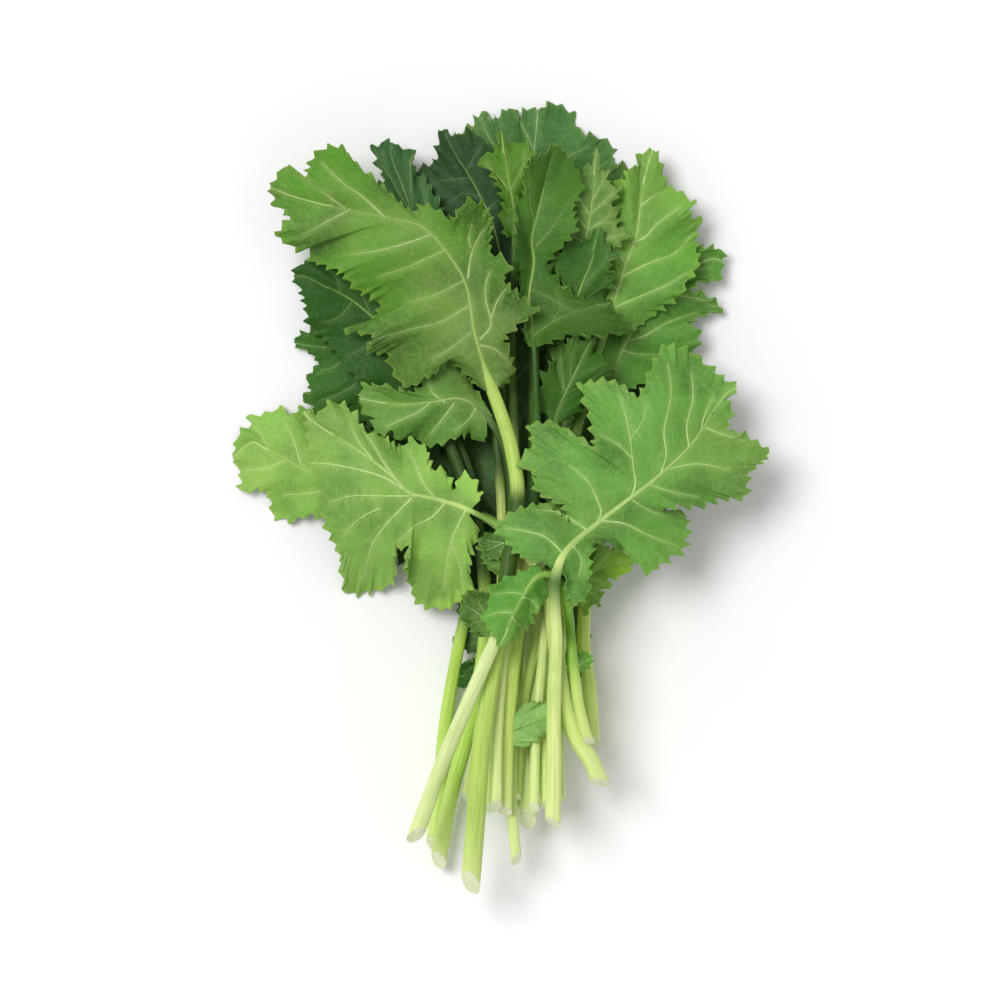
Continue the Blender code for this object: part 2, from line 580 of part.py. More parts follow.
def settle(skin, row_count, pile):
    """Lifts the leaf clear of the pile. Every point keeps its place in plan. The lift is spread
    along the rib and over the blade as a stiff sheet would spread it."""
    points = np.array(skin.points)
    row, lane = np.array(skin.row), np.array(skin.lane)
    faces = np.array(skin.faces)
    weights = lattice(LATTICE)
    push_share = weights / (weights**2).sum(1, keepdims=True)
    xy = np.einsum("kc,fcd->fkd", weights, points[faces][:, :, :2])
    under = pile.height(xy)
    blocked = under > 0
    lift = np.zeros((row_count, 5))
    used = np.zeros((row_count, 5), bool)
    used[row, lane] = True

    def clear(gap, lift):
        z = (points[:, 2] + lift[row, lane])[faces] @ weights.T
        lack = np.maximum(under + gap * blocked - z, 0)
        push = (lack[:, :, None] * push_share[None]).max(axis=1)
        raised = np.zeros_like(lift)
        np.maximum.at(raised, (row[faces], lane[faces]), push)
        return lift + raised, lack.max()

    for _ in range(RELAX_ROUNDS):
        rib = Skin.RIB_LANE
        lift = np.where(used, lift, lift[:, rib:rib + 1])
        ends = np.pad(lift, ((1, 1), (0, 0)), mode="edge")
        along = (ends[:-2] + ends[2:]) / 2
        sides = np.pad(lift, ((0, 0), (1, 1)), mode="edge")
        across = (sides[:, :-2] + sides[:, 2:]) / 2
        lift = 0.985 * (0.45 * lift + 0.35 * along + 0.20 * across)
        lift, _ = clear(GAP, lift)
    for _ in range(CLEAR_ROUNDS):
        lift, lack = clear(LEAST_GAP, lift)
        if lack < 0.05:
            break
    points[:, 2] += lift[row, lane]
    flat = (points[:, 2] < PRESSED_FLAT) & (lane != Skin.RIB_LANE)
    points[flat, 2] = 0.0
    z = points[:, 2][faces] @ weights.T
    pile.add(xy, z)
    return points, lack


def material(name, colour):
    made = bpy.data.materials.new(name)
    made.use_nodes = True
    shader = made.node_tree.nodes["Principled BSDF"]
    shader.inputs["Base Color"].default_value = colour
    shader.inputs["Roughness"].default_value = 0.5
    shader.inputs["Metallic"].default_value = 0.0
    return made


def make_object(leaf, points, skin, materials, collection):
    """The leaf's mesh, in metres, with its stalk and rib paler than its blade."""
    mesh = bpy.data.meshes.new(leaf.name)
    mesh.from_pydata((points * MM).tolist(), [], skin.faces)
    mesh.materials.append(materials[leaf.tone])
    mesh.materials.append(materials["stalk"])
    for face, pale in zip(mesh.polygons, skin.pale):
        face.material_index = int(pale)
    work = bmesh.new()
    work.from_mesh(mesh)
    bmesh.ops.recalc_face_normals(work, faces=work.faces)
    work.to_mesh(mesh)
    work.free()
    mesh.shade_smooth()
    mesh.set_sharp_from_angle(angle=math.radians(50))
    made = bpy.data.objects.new(leaf.name, mesh)
    collection.objects.link(made)
    return made


def main():
    for old in list(bpy.data.objects):
        bpy.data.objects.remove(old)
    collection = bpy.data.collections.new("mustard_greens_bunch")
    bpy.context.scene.collection.children.link(collection)
    materials = {name: material(name, colour) for name, colour in COLOURS.items()}
    pile = Pile()
    for leaf in LEAVES:
        route = Route(leaf.route)
        wings = Wings(leaf, route)
        skin, row_count = build_skin(leaf, route, wings)
        points, lack = settle(skin, row_count, pile)
        make_object(leaf, points, skin, materials, collection)
        print(f"{leaf.name}: {len(skin.faces)} triangles, rests {-lack:.2f} mm from clear, "
              f"top {points[:, 2].max():.0f} mm")


main()
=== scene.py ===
"""The looks of a bunch of mustard greens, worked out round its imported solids.

Each leaf's margins, veins and stalk are drawn on the same sheet of half-millimetre squares as its
solid, and take their heights from that solid. From this come a finely toothed and puckered blade, the
raised pale veins and the stalk. Lengths are in millimetres, and become metres where meshes are made.
"""

import math
from dataclasses import dataclass

import bpy
import numpy as np
from mathutils.bvhtree import BVHTree
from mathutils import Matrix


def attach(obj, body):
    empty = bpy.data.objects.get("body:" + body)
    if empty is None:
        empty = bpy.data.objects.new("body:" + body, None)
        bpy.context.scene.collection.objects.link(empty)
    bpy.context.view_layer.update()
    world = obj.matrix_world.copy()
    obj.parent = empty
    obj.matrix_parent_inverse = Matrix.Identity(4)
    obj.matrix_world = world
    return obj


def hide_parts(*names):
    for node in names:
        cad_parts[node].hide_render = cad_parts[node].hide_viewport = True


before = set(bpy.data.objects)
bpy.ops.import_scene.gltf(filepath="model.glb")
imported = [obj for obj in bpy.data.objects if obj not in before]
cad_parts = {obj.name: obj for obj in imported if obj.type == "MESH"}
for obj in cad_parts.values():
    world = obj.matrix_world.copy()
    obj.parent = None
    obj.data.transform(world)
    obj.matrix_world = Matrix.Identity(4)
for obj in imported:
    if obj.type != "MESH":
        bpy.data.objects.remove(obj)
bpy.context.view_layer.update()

MM = 0.001
SHEET_CENTRE = np.array((500.0, 498.0))
SHEET_SQUARE = 0.5

# The plan of a solid, repeated from the part.
FAN_END = 0.82
FOOT_POWER = 1.15
ROUTE_STEPS = 24
ROUTE_REACH = 4.0
STALK_STEP = 24.0
LEAFLET_SHARES = (0.0, 0.3, 0.65, 1.0)
LEAFLET_ROOT = 0.8  # the length of its root, as a share of its own
LEAFLET_CLEAR = 8  # no other row lies this near
LEAFLET_ANGLES = (math.radians(95), math.radians(60))  # of its first row, and how far they turn
RULED_ROWS = 14
BASE_ANGLE = math.radians(112)
ANGLE_POWER = 0.65
RULED_LOBES = 3.5
RULED_BAY = 0.25
RULED_BASE = (0.6, 0.2)  # how much shorter the first rows are, and up to which place
RULED_UNEVEN = (0.1, 1.5)  # by how much the envelope swings, and how often
RULED_TIP = 0.6  # where the rows begin to close in on the tip
TOOTH = 2.0
RIB_AT_BASE = 0.66
RIB_AT_END = 0.55
RIB_TOP = 0.30
ROOT_HALF_THICKNESS = 0.6
RIB_WIDE = 0.87
RIB_TURN = 28  # the length over which the stalk's section becomes the rib's
LEAST_TRIANGLE = 1.4
UNFOLD_ROUNDS = 300
UNFOLD_PACE = 0.4

# The fine surfaces.
BLADE_THICKNESS = 0.5
LANES = np.array((0, 0.1, 0.2, 0.3, 0.4, 0.5, 0.6, 0.7, 0.79, 0.87, 0.93, 0.97, 1.0))
MARGIN_STEP = 0.6
HIDDEN_STEP = 2.5
RIM_SMOOTH = 0.6  # how much of the margin follows the smooth curve, and not straight runs
SPINE_WINDOW = 15
TEETH = (3.3, 6.2, 3.0, 0.72)  # height, spacing, fade at the ends, and the place where moves begin
TOOTH_RISE = 0.66  # the share of a tooth's length over which it rises
TOOTH_LEAN = 0.35
TOOTH_BASE = 0.3  # how much of a tooth's height lies inside the margin
TOOTH_LENGTHS, TOOTH_HEIGHTS = (0.55, 1.45), (0.45, 1.3)  # the least and greatest, as shares
RUFFLES = ((13.0, 2.2, 3), (6.0, 0.7, 6))  # (spacing, height, power of the place across)
RUFFLE_END = 10.0
SLANTING, SQUARE = 0.2, 0.8  # sines between a lane and the margin that damp ruffles fully and not at all
SQUARE_WINDOW = 21
PUCKER, HOLLOW = 0.7, 0.3  # how far the skin swells between veins, and how deep they lie in it
VEIN_REACHES = (2.2, 1.5)  # how far a vein draws the skin down, and how far it makes it pale
VEIN_ENDS = (0.82, 0.93)  # where a ruled vein ends, from 0 at the rib to 1 at the margin
VEIN_BOWS = (0.5, 0.9)
BRANCH_ROOTS, BRANCH_ENDS, BRANCH_TURNS = (0.3, 0.6), (0.8, 0.9), (0.7, 1.2)
LEAST_LOBE = 8  # a shorter lobe has no ruled vein
VEIN_WIDENING = 1.2
VEIN_TAPER = 0.72
VEIN_FLATNESS = 0.8
VEIN_RAISED = 0.05
LEAFLET_ROWS = 48
LEAFLET_SHRINK = 0.35
LEAFLET_TEETH = (2.2, 3.4, 0.8, 0.55)
LEAFLET_WAVE = (4.0, 1.6)  # spacing, height
LEAFLET_VEINS = ((0.0, 0.5, 0.3), (0.12, 0.14, 0.16), (0.15, 0.86, 0.16))  # (root, aim, width)
CELL = 1.0
MAP_HALF = (150, 215)
SKIN_GAP = 0.3
CUT_SLANTS = (-0.7, 0.7)
CUT_LEANS = (0.6, 1.2)
CUT_FADE = 17.0
STALK_RINGS = 2.5
STALK_RIDGES = 0.035
NARROWING = 22.0
SHARP_EDGE = math.radians(60)

# The light and the ground.
SKY_STRENGTH = 0.52
SUN_STRENGTH = 1.95
SUN_WIDTH = math.radians(28)
SUN_TURN = (math.radians(-16), math.radians(-23), 0)
FLOOR_HALF = 6.0

LEFT, RIGHT = 1, -1
SIDES = (LEFT, RIGHT)


@dataclass
class Leaf:
    """One leaf. Points are on the sheet, written flat as x, y, x, y. Other lengths are in millimetres."""

    name: str
    route: tuple
    blade: float
    left: tuple = ()
    right: tuple = ()
    widths: tuple = (30, 30)
    stalk: float = 3.4
    leaflets: tuple = ()
    seed: int = 0
    slot: str = "leaf_mid"
    colour: tuple = (100, 148, 64)  # of the blade, as on a screen
    tip: tuple = ()  # its colour at the tip, where that differs
    margin: tuple = ()  # its colour at the margins, where that differs
    frills: tuple = ()  # the colours of its leaflets from the cut end up, where they differ
    rib: tuple = (0.42, 4)  # how much of the stalk's width the rib keeps, and how far before the blade
    depth: float = 0.36  # how much darker its dark patches are
    stem: tuple = (160, 190, 98)
    shaded: tuple = ()  # painted shade: a darker green painted on the stalk where it runs under the pile
    shade: tuple = (110, -12)  # where that begins and ends, by distance before the blade
    veins: tuple = ()  # drawn veins, each a width and then points; without them a rule draws some
    hidden: bool = False


LEAVES = (
    Leaf("leaf_under_right", (512, 814, 528, 718, 552, 618, 588, 518, 644, 418, 690, 335), 96,
         widths=(42, 30), stalk=2.6, seed=1, slot="leaf_dark", colour=(60, 96, 40), hidden=True),
    Leaf("leaf_under_left", (520, 818, 500, 718, 480, 618, 450, 522, 385, 450, 330, 378), 100,
         widths=(34, 32), stalk=2.6, seed=2, slot="leaf_dark", colour=(60, 96, 40), hidden=True),
    Leaf("leaf_under_middle", (484, 800, 492, 720, 510, 618, 512, 498, 504, 378, 512, 262), 126,
         widths=(36, 46), stalk=2.6, seed=3, slot="leaf_dark", colour=(56, 92, 38), hidden=True),
    Leaf("leaf_under_front", (526, 822, 524, 720, 520, 640, 516, 560, 512, 470, 516, 400), 126,
         widths=(38, 40), stalk=2.6, seed=24, slot="leaf_dark", colour=(58, 94, 40), hidden=True),
    Leaf("leaf_left_outer", (588, 752, 575, 700, 570, 640, 545, 570, 490, 520, 420, 500, 380, 490, 330, 478,
           300, 468, 262, 448, 231, 458), 99,
         left=(420, 512, 402, 520, 385, 528, 368, 532, 350, 530, 335, 524, 320, 518, 305, 515, 290, 521,
           271, 516, 268, 498, 256, 489, 240, 492, 238, 474),
         right=(424, 488, 405, 478, 385, 462, 368, 452, 350, 440, 335, 425, 318, 412, 300, 407, 290, 414,
           278, 406, 268, 412, 250, 415, 246, 427, 236, 434), stalk=3.2, seed=4, slot="leaf_light",
         colour=(136, 188, 79), stem=(204, 226, 118),
         veins=((0.35, 300, 466, 293, 442, 283, 420), (0.35, 340, 481, 315, 492, 280, 495), (0.35, 284, 460,
           264, 468, 243, 470), (0.3, 268, 450, 260, 436, 250, 422), (0.3, 322, 475, 316, 450, 308, 420))),
    Leaf("leaf_top_back", (528, 830, 529, 740, 532, 600, 534, 450, 534, 300, 533, 200, 538, 107), 112,
         left=(522, 325, 505, 310, 490, 292, 478, 272, 468, 250, 460, 228, 455, 205, 452, 180, 456, 155,
           458, 132, 472, 121, 482, 108, 494, 117, 508, 104, 519, 113, 528, 105),
         right=(546, 325, 562, 310, 578, 292, 592, 272, 602, 250, 610, 228, 615, 208, 622, 188, 634, 167,
           613, 158, 615, 145, 604, 135, 588, 133, 578, 124, 574, 111, 556, 100), stalk=4.0, seed=5,
         slot="leaf_dark", colour=(68, 119, 56), stem=(222, 234, 166), shaded=(78, 112, 44),
         veins=((0.35, 533, 190, 510, 165, 492, 140, 480, 116), (0.35, 534, 185, 560, 160, 590, 143),
           (0.35, 533, 225, 570, 200, 612, 172), (0.35, 533, 235, 500, 215, 462, 190), (0.3, 535, 150,
           526, 130, 516, 112))),
    Leaf("leaf_left_low", (432, 852, 440, 780, 446, 720, 458, 650, 472, 580, 476, 500, 455, 435, 430, 392,
           392, 368, 352, 349, 320, 345, 292, 341), 99,
         left=(445, 446, 430, 450, 412, 446, 394, 438, 376, 428, 358, 420, 340, 412, 322, 412, 303, 402,
           309, 390, 305, 378, 317, 360),
         right=(464, 426, 462, 405, 450, 385, 434, 368, 416, 352, 398, 340, 380, 330, 362, 322, 345, 320,
           328, 322, 312, 328, 298, 333), stalk=3.5,
         leaflets=((98, RIGHT, 13), (114, RIGHT, 13), (130, RIGHT, 13)), seed=7, slot="leaf_dark",
         colour=(44, 98, 24), frills=((56, 98, 36),), stem=(180, 212, 94), shaded=(56, 84, 30),
         veins=((0.35, 372, 358, 360, 378, 340, 392, 318, 400), (0.35, 350, 350, 336, 364, 316, 372),
           (0.3, 352, 348, 340, 336, 325, 328))),
    Leaf("leaf_left_high", (437, 870, 450, 800, 466, 740, 478, 690, 486, 620, 478, 530, 452, 450, 415, 370,
           385, 330, 355, 302, 325, 285, 292, 276), 98,
         left=(418, 408, 400, 410, 384, 404, 368, 394, 356, 380, 345, 366, 334, 352, 324, 340, 312, 330,
           306, 318, 304, 306, 300, 292),
         right=(442, 392, 446, 372, 438, 350, 428, 330, 414, 312, 400, 296, 384, 282, 368, 270, 350, 262,
           335, 257, 318, 258, 299, 261), stalk=4.0, seed=8, slot="leaf_dark", colour=(36, 84, 19),
         stem=(176, 208, 92), shaded=(56, 84, 30),
         veins=((0.35, 352, 300, 338, 316, 318, 322), (0.3, 340, 293, 335, 276, 322, 262), (0.3, 372, 316,
           362, 295, 352, 272), (0.3, 378, 322, 365, 345, 345, 356))),
    Leaf("leaf_top_back_left", (466, 804, 480, 740, 505, 640, 515, 500, 512, 380, 508, 300, 495, 230,
           478, 190, 458, 155, 444, 126), 108,
         left=(500, 328, 482, 312, 466, 292, 454, 270, 448, 248, 446, 222, 430, 220, 412, 210, 412, 185,
           416, 168, 425, 163, 434, 160, 437, 145, 438, 134),
         right=(520, 328, 530, 312, 536, 295, 538, 275, 534, 255, 528, 235, 522, 215, 514, 195, 506, 178,
           500, 160, 492, 146, 480, 136, 468, 128, 456, 134), stalk=3.1, seed=6, slot="leaf_dark",
         colour=(34, 70, 32), stem=(206, 222, 124), shaded=(56, 84, 30),
         veins=((0.3, 480, 195, 462, 192, 446, 205, 432, 218), (0.3, 470, 176, 448, 178, 424, 182),
           (0.3, 486, 208, 502, 195, 508, 180), (0.3, 466, 168, 476, 152, 484, 140))),
    Leaf("leaf_top_left_small", (490, 815, 492, 740, 500, 640, 502, 520, 492, 400, 474, 325, 440, 270,
           418, 225, 404, 190, 394, 160, 394, 141), 85,
         left=(440, 292, 425, 285, 412, 272, 402, 255, 395, 236, 390, 218, 384, 202, 374, 190, 384, 176,
           378, 162, 372, 148, 380, 140),
         right=(458, 278, 462, 262, 458, 246, 452, 230, 445, 216, 438, 200, 430, 188, 424, 175, 415, 171,
           411, 158, 410, 146, 402, 147), stalk=2.9, seed=9, slot="leaf_dark", colour=(38, 88, 42),
         stem=(200, 220, 122), shaded=(60, 88, 34)),
    Leaf("leaf_right_low", (594, 748, 590, 690, 584, 640, 590, 550, 600, 450, 612, 385, 625, 345, 640, 320,
           656, 296, 675, 275, 700, 264, 724, 262), 91,
         left=(600, 378, 598, 362, 606, 345, 612, 328, 620, 312, 630, 298, 636, 282, 648, 268, 655, 255,
           668, 250, 680, 244, 690, 240, 702, 247, 722, 247),
         right=(628, 388, 648, 380, 672, 372, 690, 360, 697, 348, 701, 331, 690, 321, 702, 314, 724, 307,
           708, 295, 690, 290, 698, 281, 710, 276, 722, 280), stalk=3.6,
         leaflets=((146, LEFT, 12), (131, LEFT, 11), (116, LEFT, 10)), seed=10, colour=(86, 146, 52),
         frills=((96, 162, 50),), stem=(204, 226, 118), shaded=(96, 132, 52),
         veins=((0.5, 628, 340, 645, 335, 670, 321, 698, 311), (0.4, 654, 298, 648, 282, 651, 262, 657, 253),
           (0.35, 672, 278, 690, 270, 712, 266), (0.35, 660, 291, 676, 294, 698, 297, 718, 306),
           (0.35, 622, 350, 645, 354, 676, 352), (0.3, 640, 320, 634, 305, 632, 292))),
    Leaf("leaf_right_high", (541, 803, 537, 740, 536, 660, 548, 560, 572, 450, 592, 370, 605, 330, 618, 290,
           627, 262, 637, 235, 641, 205, 643, 188, 650, 165, 655, 148), 94,
         left=(596, 322, 590, 305, 592, 285, 598, 268, 600, 250, 612, 240, 602, 225, 614, 205, 603, 192,
           612, 178, 622, 180, 628, 168, 638, 165, 641, 151),
         right=(618, 335, 640, 325, 660, 310, 680, 295, 690, 278, 700, 262, 697, 240, 701, 221, 691, 213,
           694, 202, 682, 190, 670, 184, 664, 170, 661, 157), stalk=3.8, seed=11, slot="leaf_light",
         colour=(103, 164, 57), stem=(220, 233, 160), shaded=(110, 144, 62),
         veins=((0.6, 633, 242, 646, 236, 658, 223, 682, 205), (0.4, 641, 205, 652, 196, 664, 190),
           (0.4, 626, 264, 616, 246, 613, 225), (0.4, 618, 290, 608, 276, 600, 262), (0.4, 612, 308,
           640, 296, 668, 284, 688, 272), (0.4, 622, 276, 650, 262, 676, 252, 694, 232))),
    Leaf("leaf_top_inner", (516, 800, 524, 700, 546, 600, 560, 450, 570, 340, 582, 260, 592, 205, 597, 150),
         62, widths=(20, 18), stalk=2.5, seed=22, colour=(86, 130, 52), stem=(206, 224, 128)),
    Leaf("leaf_top_bright", (517, 866, 512, 800, 514, 700, 516, 500, 512, 350, 515, 260, 514, 210, 508, 175,
           502, 133), 52,
         left=(508, 236, 502, 225, 500, 212, 502, 200, 500, 188, 497, 176, 492, 166, 477, 158, 490, 152,
           496, 146),
         right=(522, 235, 530, 226, 534, 212, 528, 200, 524, 188, 530, 178, 528, 165, 532, 150, 524, 140,
           511, 142), stalk=2.7, seed=12, slot="leaf_light", colour=(78, 128, 30), stem=(206, 222, 142),
         shaded=(84, 118, 44)),
    Leaf("leaf_middle_right", (547, 808, 545, 740, 545, 640, 550, 520, 558, 420, 566, 345, 580, 290,
           592, 260, 598, 228), 62,
         left=(556, 345, 545, 335, 540, 318, 546, 302, 540, 285, 552, 272, 548, 258, 562, 250, 568, 240,
           585, 240),
         right=(578, 345, 592, 340, 600, 328, 594, 314, 608, 304, 604, 290, 616, 280, 608, 266, 616, 254,
           606, 242), stalk=3.0, seed=13, colour=(46, 98, 24), stem=(212, 229, 140), shaded=(88, 124, 48)),
    Leaf("leaf_middle_small", (534, 812, 536, 740, 542, 660, 550, 560, 552, 470, 556, 420, 566, 392,
           579, 365, 590, 344), 43,
         left=(548, 415, 536, 405, 540, 390, 542, 375, 553, 364, 552, 350, 557, 338, 568, 343, 575, 333,
           584, 340),
         right=(566, 418, 580, 412, 582, 400, 588, 390, 600, 386, 606, 379, 616, 370, 606, 364, 604, 355,
           596, 352), stalk=2.5, seed=15, colour=(48, 98, 22), stem=(220, 233, 156), shaded=(88, 124, 48)),
    Leaf("leaf_right_curl", (561, 802, 559, 740, 560, 680, 566, 625, 578, 590, 598, 570, 631, 561), 36,
         left=(572, 566, 578, 556, 588, 545, 597, 552, 603, 543, 611, 550, 619, 543, 625, 552),
         right=(578, 603, 588, 614, 594, 600, 602, 606, 600, 592, 610, 588, 608, 579, 622, 576), stalk=2.5,
         leaflets=((22, RIGHT, 10), (40, RIGHT, 11)), seed=19, colour=(106, 170, 46), tip=(152, 206, 58),
         stem=(216, 230, 148)),
    Leaf("leaf_top_middle", (504, 816, 506, 740, 510, 690, 516, 640, 526, 560, 536, 450, 534, 345, 529, 300,
           534, 262, 532, 238, 540, 205, 546, 180, 557, 145), 103,
         left=(524, 340, 524, 325, 524, 312, 523, 300, 520, 285, 517, 268, 516, 250, 516, 232, 517, 215,
           514, 199, 526, 198, 524, 180, 528, 165, 538, 156),
         right=(545, 340, 568, 332, 600, 336, 631, 332, 624, 318, 608, 305, 585, 300, 562, 285, 548, 262,
           562, 245, 577, 228, 574, 205, 584, 185, 572, 160), stalk=4.2,
         leaflets=((200, RIGHT, 20), (174, RIGHT, 14)), seed=14, colour=(50, 96, 18), tip=(78, 128, 40),
         margin=(36, 80, 12), rib=(0.4, 46), frills=((158, 203, 110), (52, 100, 30)), stem=(204, 224, 118),
         shaded=(64, 102, 38),
         veins=((0.45, 536, 226, 531, 208, 529, 190, 527, 172), (0.45, 536, 246, 549, 232, 560, 215,
           572, 197), (0.45, 533, 336, 550, 324, 570, 314, 600, 305), (0.35, 552, 323, 560, 306, 556, 290),
           (0.35, 534, 290, 548, 297, 570, 310))),
    Leaf("leaf_middle_left", (496, 812, 498, 720, 506, 620, 512, 520, 508, 460, 490, 420, 463, 399, 430, 402,
           398, 404, 360, 397), 69,
         left=(487, 436, 480, 442, 468, 434, 455, 438, 440, 443, 425, 447, 414, 438, 400, 440, 388, 430,
           370, 437, 374, 420, 361, 411),
         right=(482, 404, 470, 385, 462, 366, 445, 358, 432, 368, 424, 382, 412, 392, 400, 394, 392, 388,
           382, 383, 372, 387, 362, 383), stalk=3.0,
         leaflets=((34, LEFT, 12), (56, LEFT, 15), (80, LEFT, 13)), seed=16, colour=(94, 143, 56),
         frills=((92, 142, 58), (64, 110, 40), (60, 104, 38)), stem=(216, 230, 150), shaded=(66, 98, 40),
         shade=(120, -12),
         veins=((0.4, 430, 403, 416, 413, 400, 420, 386, 427), (0.4, 455, 402, 443, 418, 430, 434),
           (0.35, 445, 402, 432, 392, 428, 380), (0.35, 476, 408, 468, 420, 455, 430))),
    Leaf("leaf_left_broad", (603, 788, 592, 762, 575, 735, 563, 700, 555, 640, 545, 580, 510, 535, 473, 512,
           440, 500, 410, 493, 395, 479, 370, 459, 340, 439, 318, 424, 303, 410), 100,
         left=(480, 530, 468, 565, 468, 592, 446, 610, 418, 605, 411, 588, 404, 570, 414, 548, 391, 552,
           393, 584, 368, 593, 344, 593, 341, 562, 325, 525, 320, 492, 308, 450),
         right=(480, 500, 475, 480, 462, 473, 454, 488, 447, 472, 430, 466, 426, 448, 410, 439, 400, 447,
           385, 437, 372, 434, 358, 428, 353, 412, 342, 403, 328, 402, 316, 414), stalk=4.3,
         leaflets=((30, LEFT, 15), (52, RIGHT, 18)), seed=17, slot="leaf_light", colour=(128, 176, 77),
         margin=(154, 202, 90), rib=(0.48, 24), frills=((104, 146, 74), (58, 104, 34)), stem=(212, 229, 136),
         shaded=(118, 160, 66), shade=(30, 2),
         veins=((0.6, 410, 493, 385, 478, 360, 470, 330, 464, 308, 463), (0.45, 402, 487, 386, 466, 374, 446,
           366, 434), (0.4, 436, 499, 424, 484, 416, 466, 409, 450), (0.45, 418, 496, 385, 496, 352, 496,
           328, 502), (0.5, 446, 502, 432, 517, 415, 526, 398, 542), (0.5, 466, 510, 456, 530, 449, 552,
           444, 590), (0.45, 412, 498, 390, 520, 372, 545, 362, 580), (0.35, 380, 508, 360, 518, 343, 535),
           (0.35, 452, 545, 460, 565, 463, 588), (0.35, 372, 459, 360, 444, 350, 426))),
    Leaf("leaf_left_upper", (470, 894, 476, 820, 481, 750, 488, 700, 497, 640, 508, 570, 518, 500, 512, 450,
           500, 410, 487, 375, 474, 330, 466, 285, 445, 250, 420, 226, 385, 217, 330, 205, 269, 186), 170,
         left=(478, 385, 466, 372, 452, 354, 437, 352, 428, 375, 408, 389, 393, 374, 384, 352, 364, 352,
           374, 336, 347, 331, 377, 318, 376, 300, 354, 288, 342, 274, 328, 266, 308, 258, 309, 243,
           297, 250, 276, 235, 289, 216, 274, 204),
         right=(503, 388, 514, 372, 510, 352, 500, 335, 520, 322, 538, 311, 522, 298, 503, 280, 510, 263,
           489, 250, 492, 222, 483, 204, 466, 202, 452, 220, 426, 204, 408, 213, 390, 193, 352, 160,
           336, 146, 315, 152, 303, 177, 284, 165), stalk=4.9, leaflets=((127, LEFT, 19),), seed=18,
         colour=(94, 132, 54), tip=(84, 146, 36), margin=(66, 108, 30), rib=(0.32, 4), depth=0.6,
         stem=(178, 204, 96), shaded=(62, 92, 24), shade=(128, 56),
         veins=((0.45, 385, 217, 362, 196, 342, 182, 322, 162), (0.5, 430, 235, 410, 242, 380, 250,
           350, 254), (0.35, 446, 250, 425, 259, 405, 268, 380, 275), (0.25, 465, 280, 445, 290, 428, 297,
           405, 302), (0.55, 468, 278, 471, 258, 475, 245, 484, 228), (0.4, 473, 250, 469, 240, 472, 224),
           (0.5, 480, 340, 491, 325, 486, 300, 486, 285, 490, 272), (0.45, 491, 320, 497, 302, 506, 288),
           (0.25, 474, 330, 455, 345, 435, 358), (0.25, 470, 305, 440, 322, 405, 330, 378, 338),
           (0.35, 480, 345, 496, 350, 508, 362), (0.35, 350, 209, 325, 222, 303, 234), (0.35, 345, 208,
           318, 188, 297, 172))),
    Leaf("leaf_right_inner", (413, 844, 440, 770, 465, 710, 497, 637, 524, 588, 552, 545, 592, 502,
           632, 474), 52, widths=(20, 18), stalk=4.0, seed=26, colour=(90, 144, 54), stem=(214, 228, 162)),
    Leaf("leaf_front_small", (590, 745, 585, 730, 578, 700, 572, 650, 568, 608, 557, 578, 536, 577, 516, 608,
           502, 641), 40,
         left=(549, 594, 543, 600, 540, 609, 532, 615, 531, 625, 520, 630, 515, 639),
         right=(540, 563, 520, 572, 504, 578, 489, 588, 489, 602, 482, 618, 490, 630), stalk=2.8,
         leaflets=((34, RIGHT, 8), (45, RIGHT, 9), (56, RIGHT, 8)), seed=21, colour=(84, 149, 47),
         frills=((88, 156, 48),), stem=(190, 216, 104), shaded=(124, 174, 62), shade=(66, -12),
         veins=((0.4, 524, 594, 510, 592, 494, 594), (0.4, 514, 612, 500, 612, 489, 615), (0.4, 522, 597,
           532, 600, 538, 608), (0.35, 512, 616, 518, 624, 524, 627))),
    Leaf("leaf_right_broad", (553, 827, 554, 760, 554, 700, 556, 640, 554, 590, 560, 560, 575, 541, 600, 521,
           631, 497, 657, 477, 690, 446, 711, 417, 738, 387), 130,
         left=(540, 556, 527, 560, 511, 548, 495, 528, 512, 512, 530, 506, 545, 504, 566, 524, 560, 502,
           533, 488, 536, 474, 519, 461, 532, 443, 528, 424, 560, 427, 593, 450, 590, 420, 581, 384,
           612, 381, 638, 396, 654, 360, 667, 344, 692, 351, 717, 372),
         right=(572, 578, 566, 594, 574, 604, 587, 597, 590, 572, 592, 548, 606, 535, 633, 543, 628, 562,
           650, 572, 668, 560, 685, 548, 687, 515, 662, 512, 682, 505, 703, 506, 722, 498, 747, 496,
           749, 474, 770, 453, 748, 437, 727, 428, 734, 412, 727, 399), stalk=4.0, seed=20,
         colour=(103, 161, 65), rib=(0.72, 4), depth=0.5, stem=(220, 235, 150), shaded=(74, 118, 46),
         shade=(26, 4),
         veins=((0.6, 597, 524, 601, 512, 597, 500, 588, 482, 570, 465), (0.5, 588, 531, 572, 520, 556, 512,
           536, 510), (0.55, 631, 498, 635, 484, 633, 468, 629, 432, 620, 395), (0.5, 660, 475, 666, 455,
           664, 430, 671, 395, 668, 362), (0.45, 689, 448, 687, 425, 693, 400, 692, 372), (0.4, 702, 431,
           704, 418, 712, 398), (0.4, 704, 427, 722, 434, 746, 441), (0.45, 668, 469, 698, 464, 730, 470),
           (0.35, 650, 485, 672, 492, 698, 497), (0.4, 632, 500, 645, 508, 660, 515), (0.5, 603, 521,
           625, 524, 650, 536, 676, 545), (0.5, 572, 545, 581, 558, 579, 576), (0.45, 562, 552, 545, 537,
           525, 531, 506, 528), (0.3, 633, 460, 618, 445, 600, 435), (0.3, 630, 440, 642, 422, 646, 405))),
)


def smoothstep(x):
    """0 below 0, 1 above 1, and a smooth turn between them."""
    x = np.clip(x, 0.0, 1.0)
    return x * x * (3 - 2 * x)


def zigzag(x):
    """1 at even numbers and -1 at odd ones, with straight runs between."""
    return 2 * np.abs(np.mod(x, 2) - 1) - 1


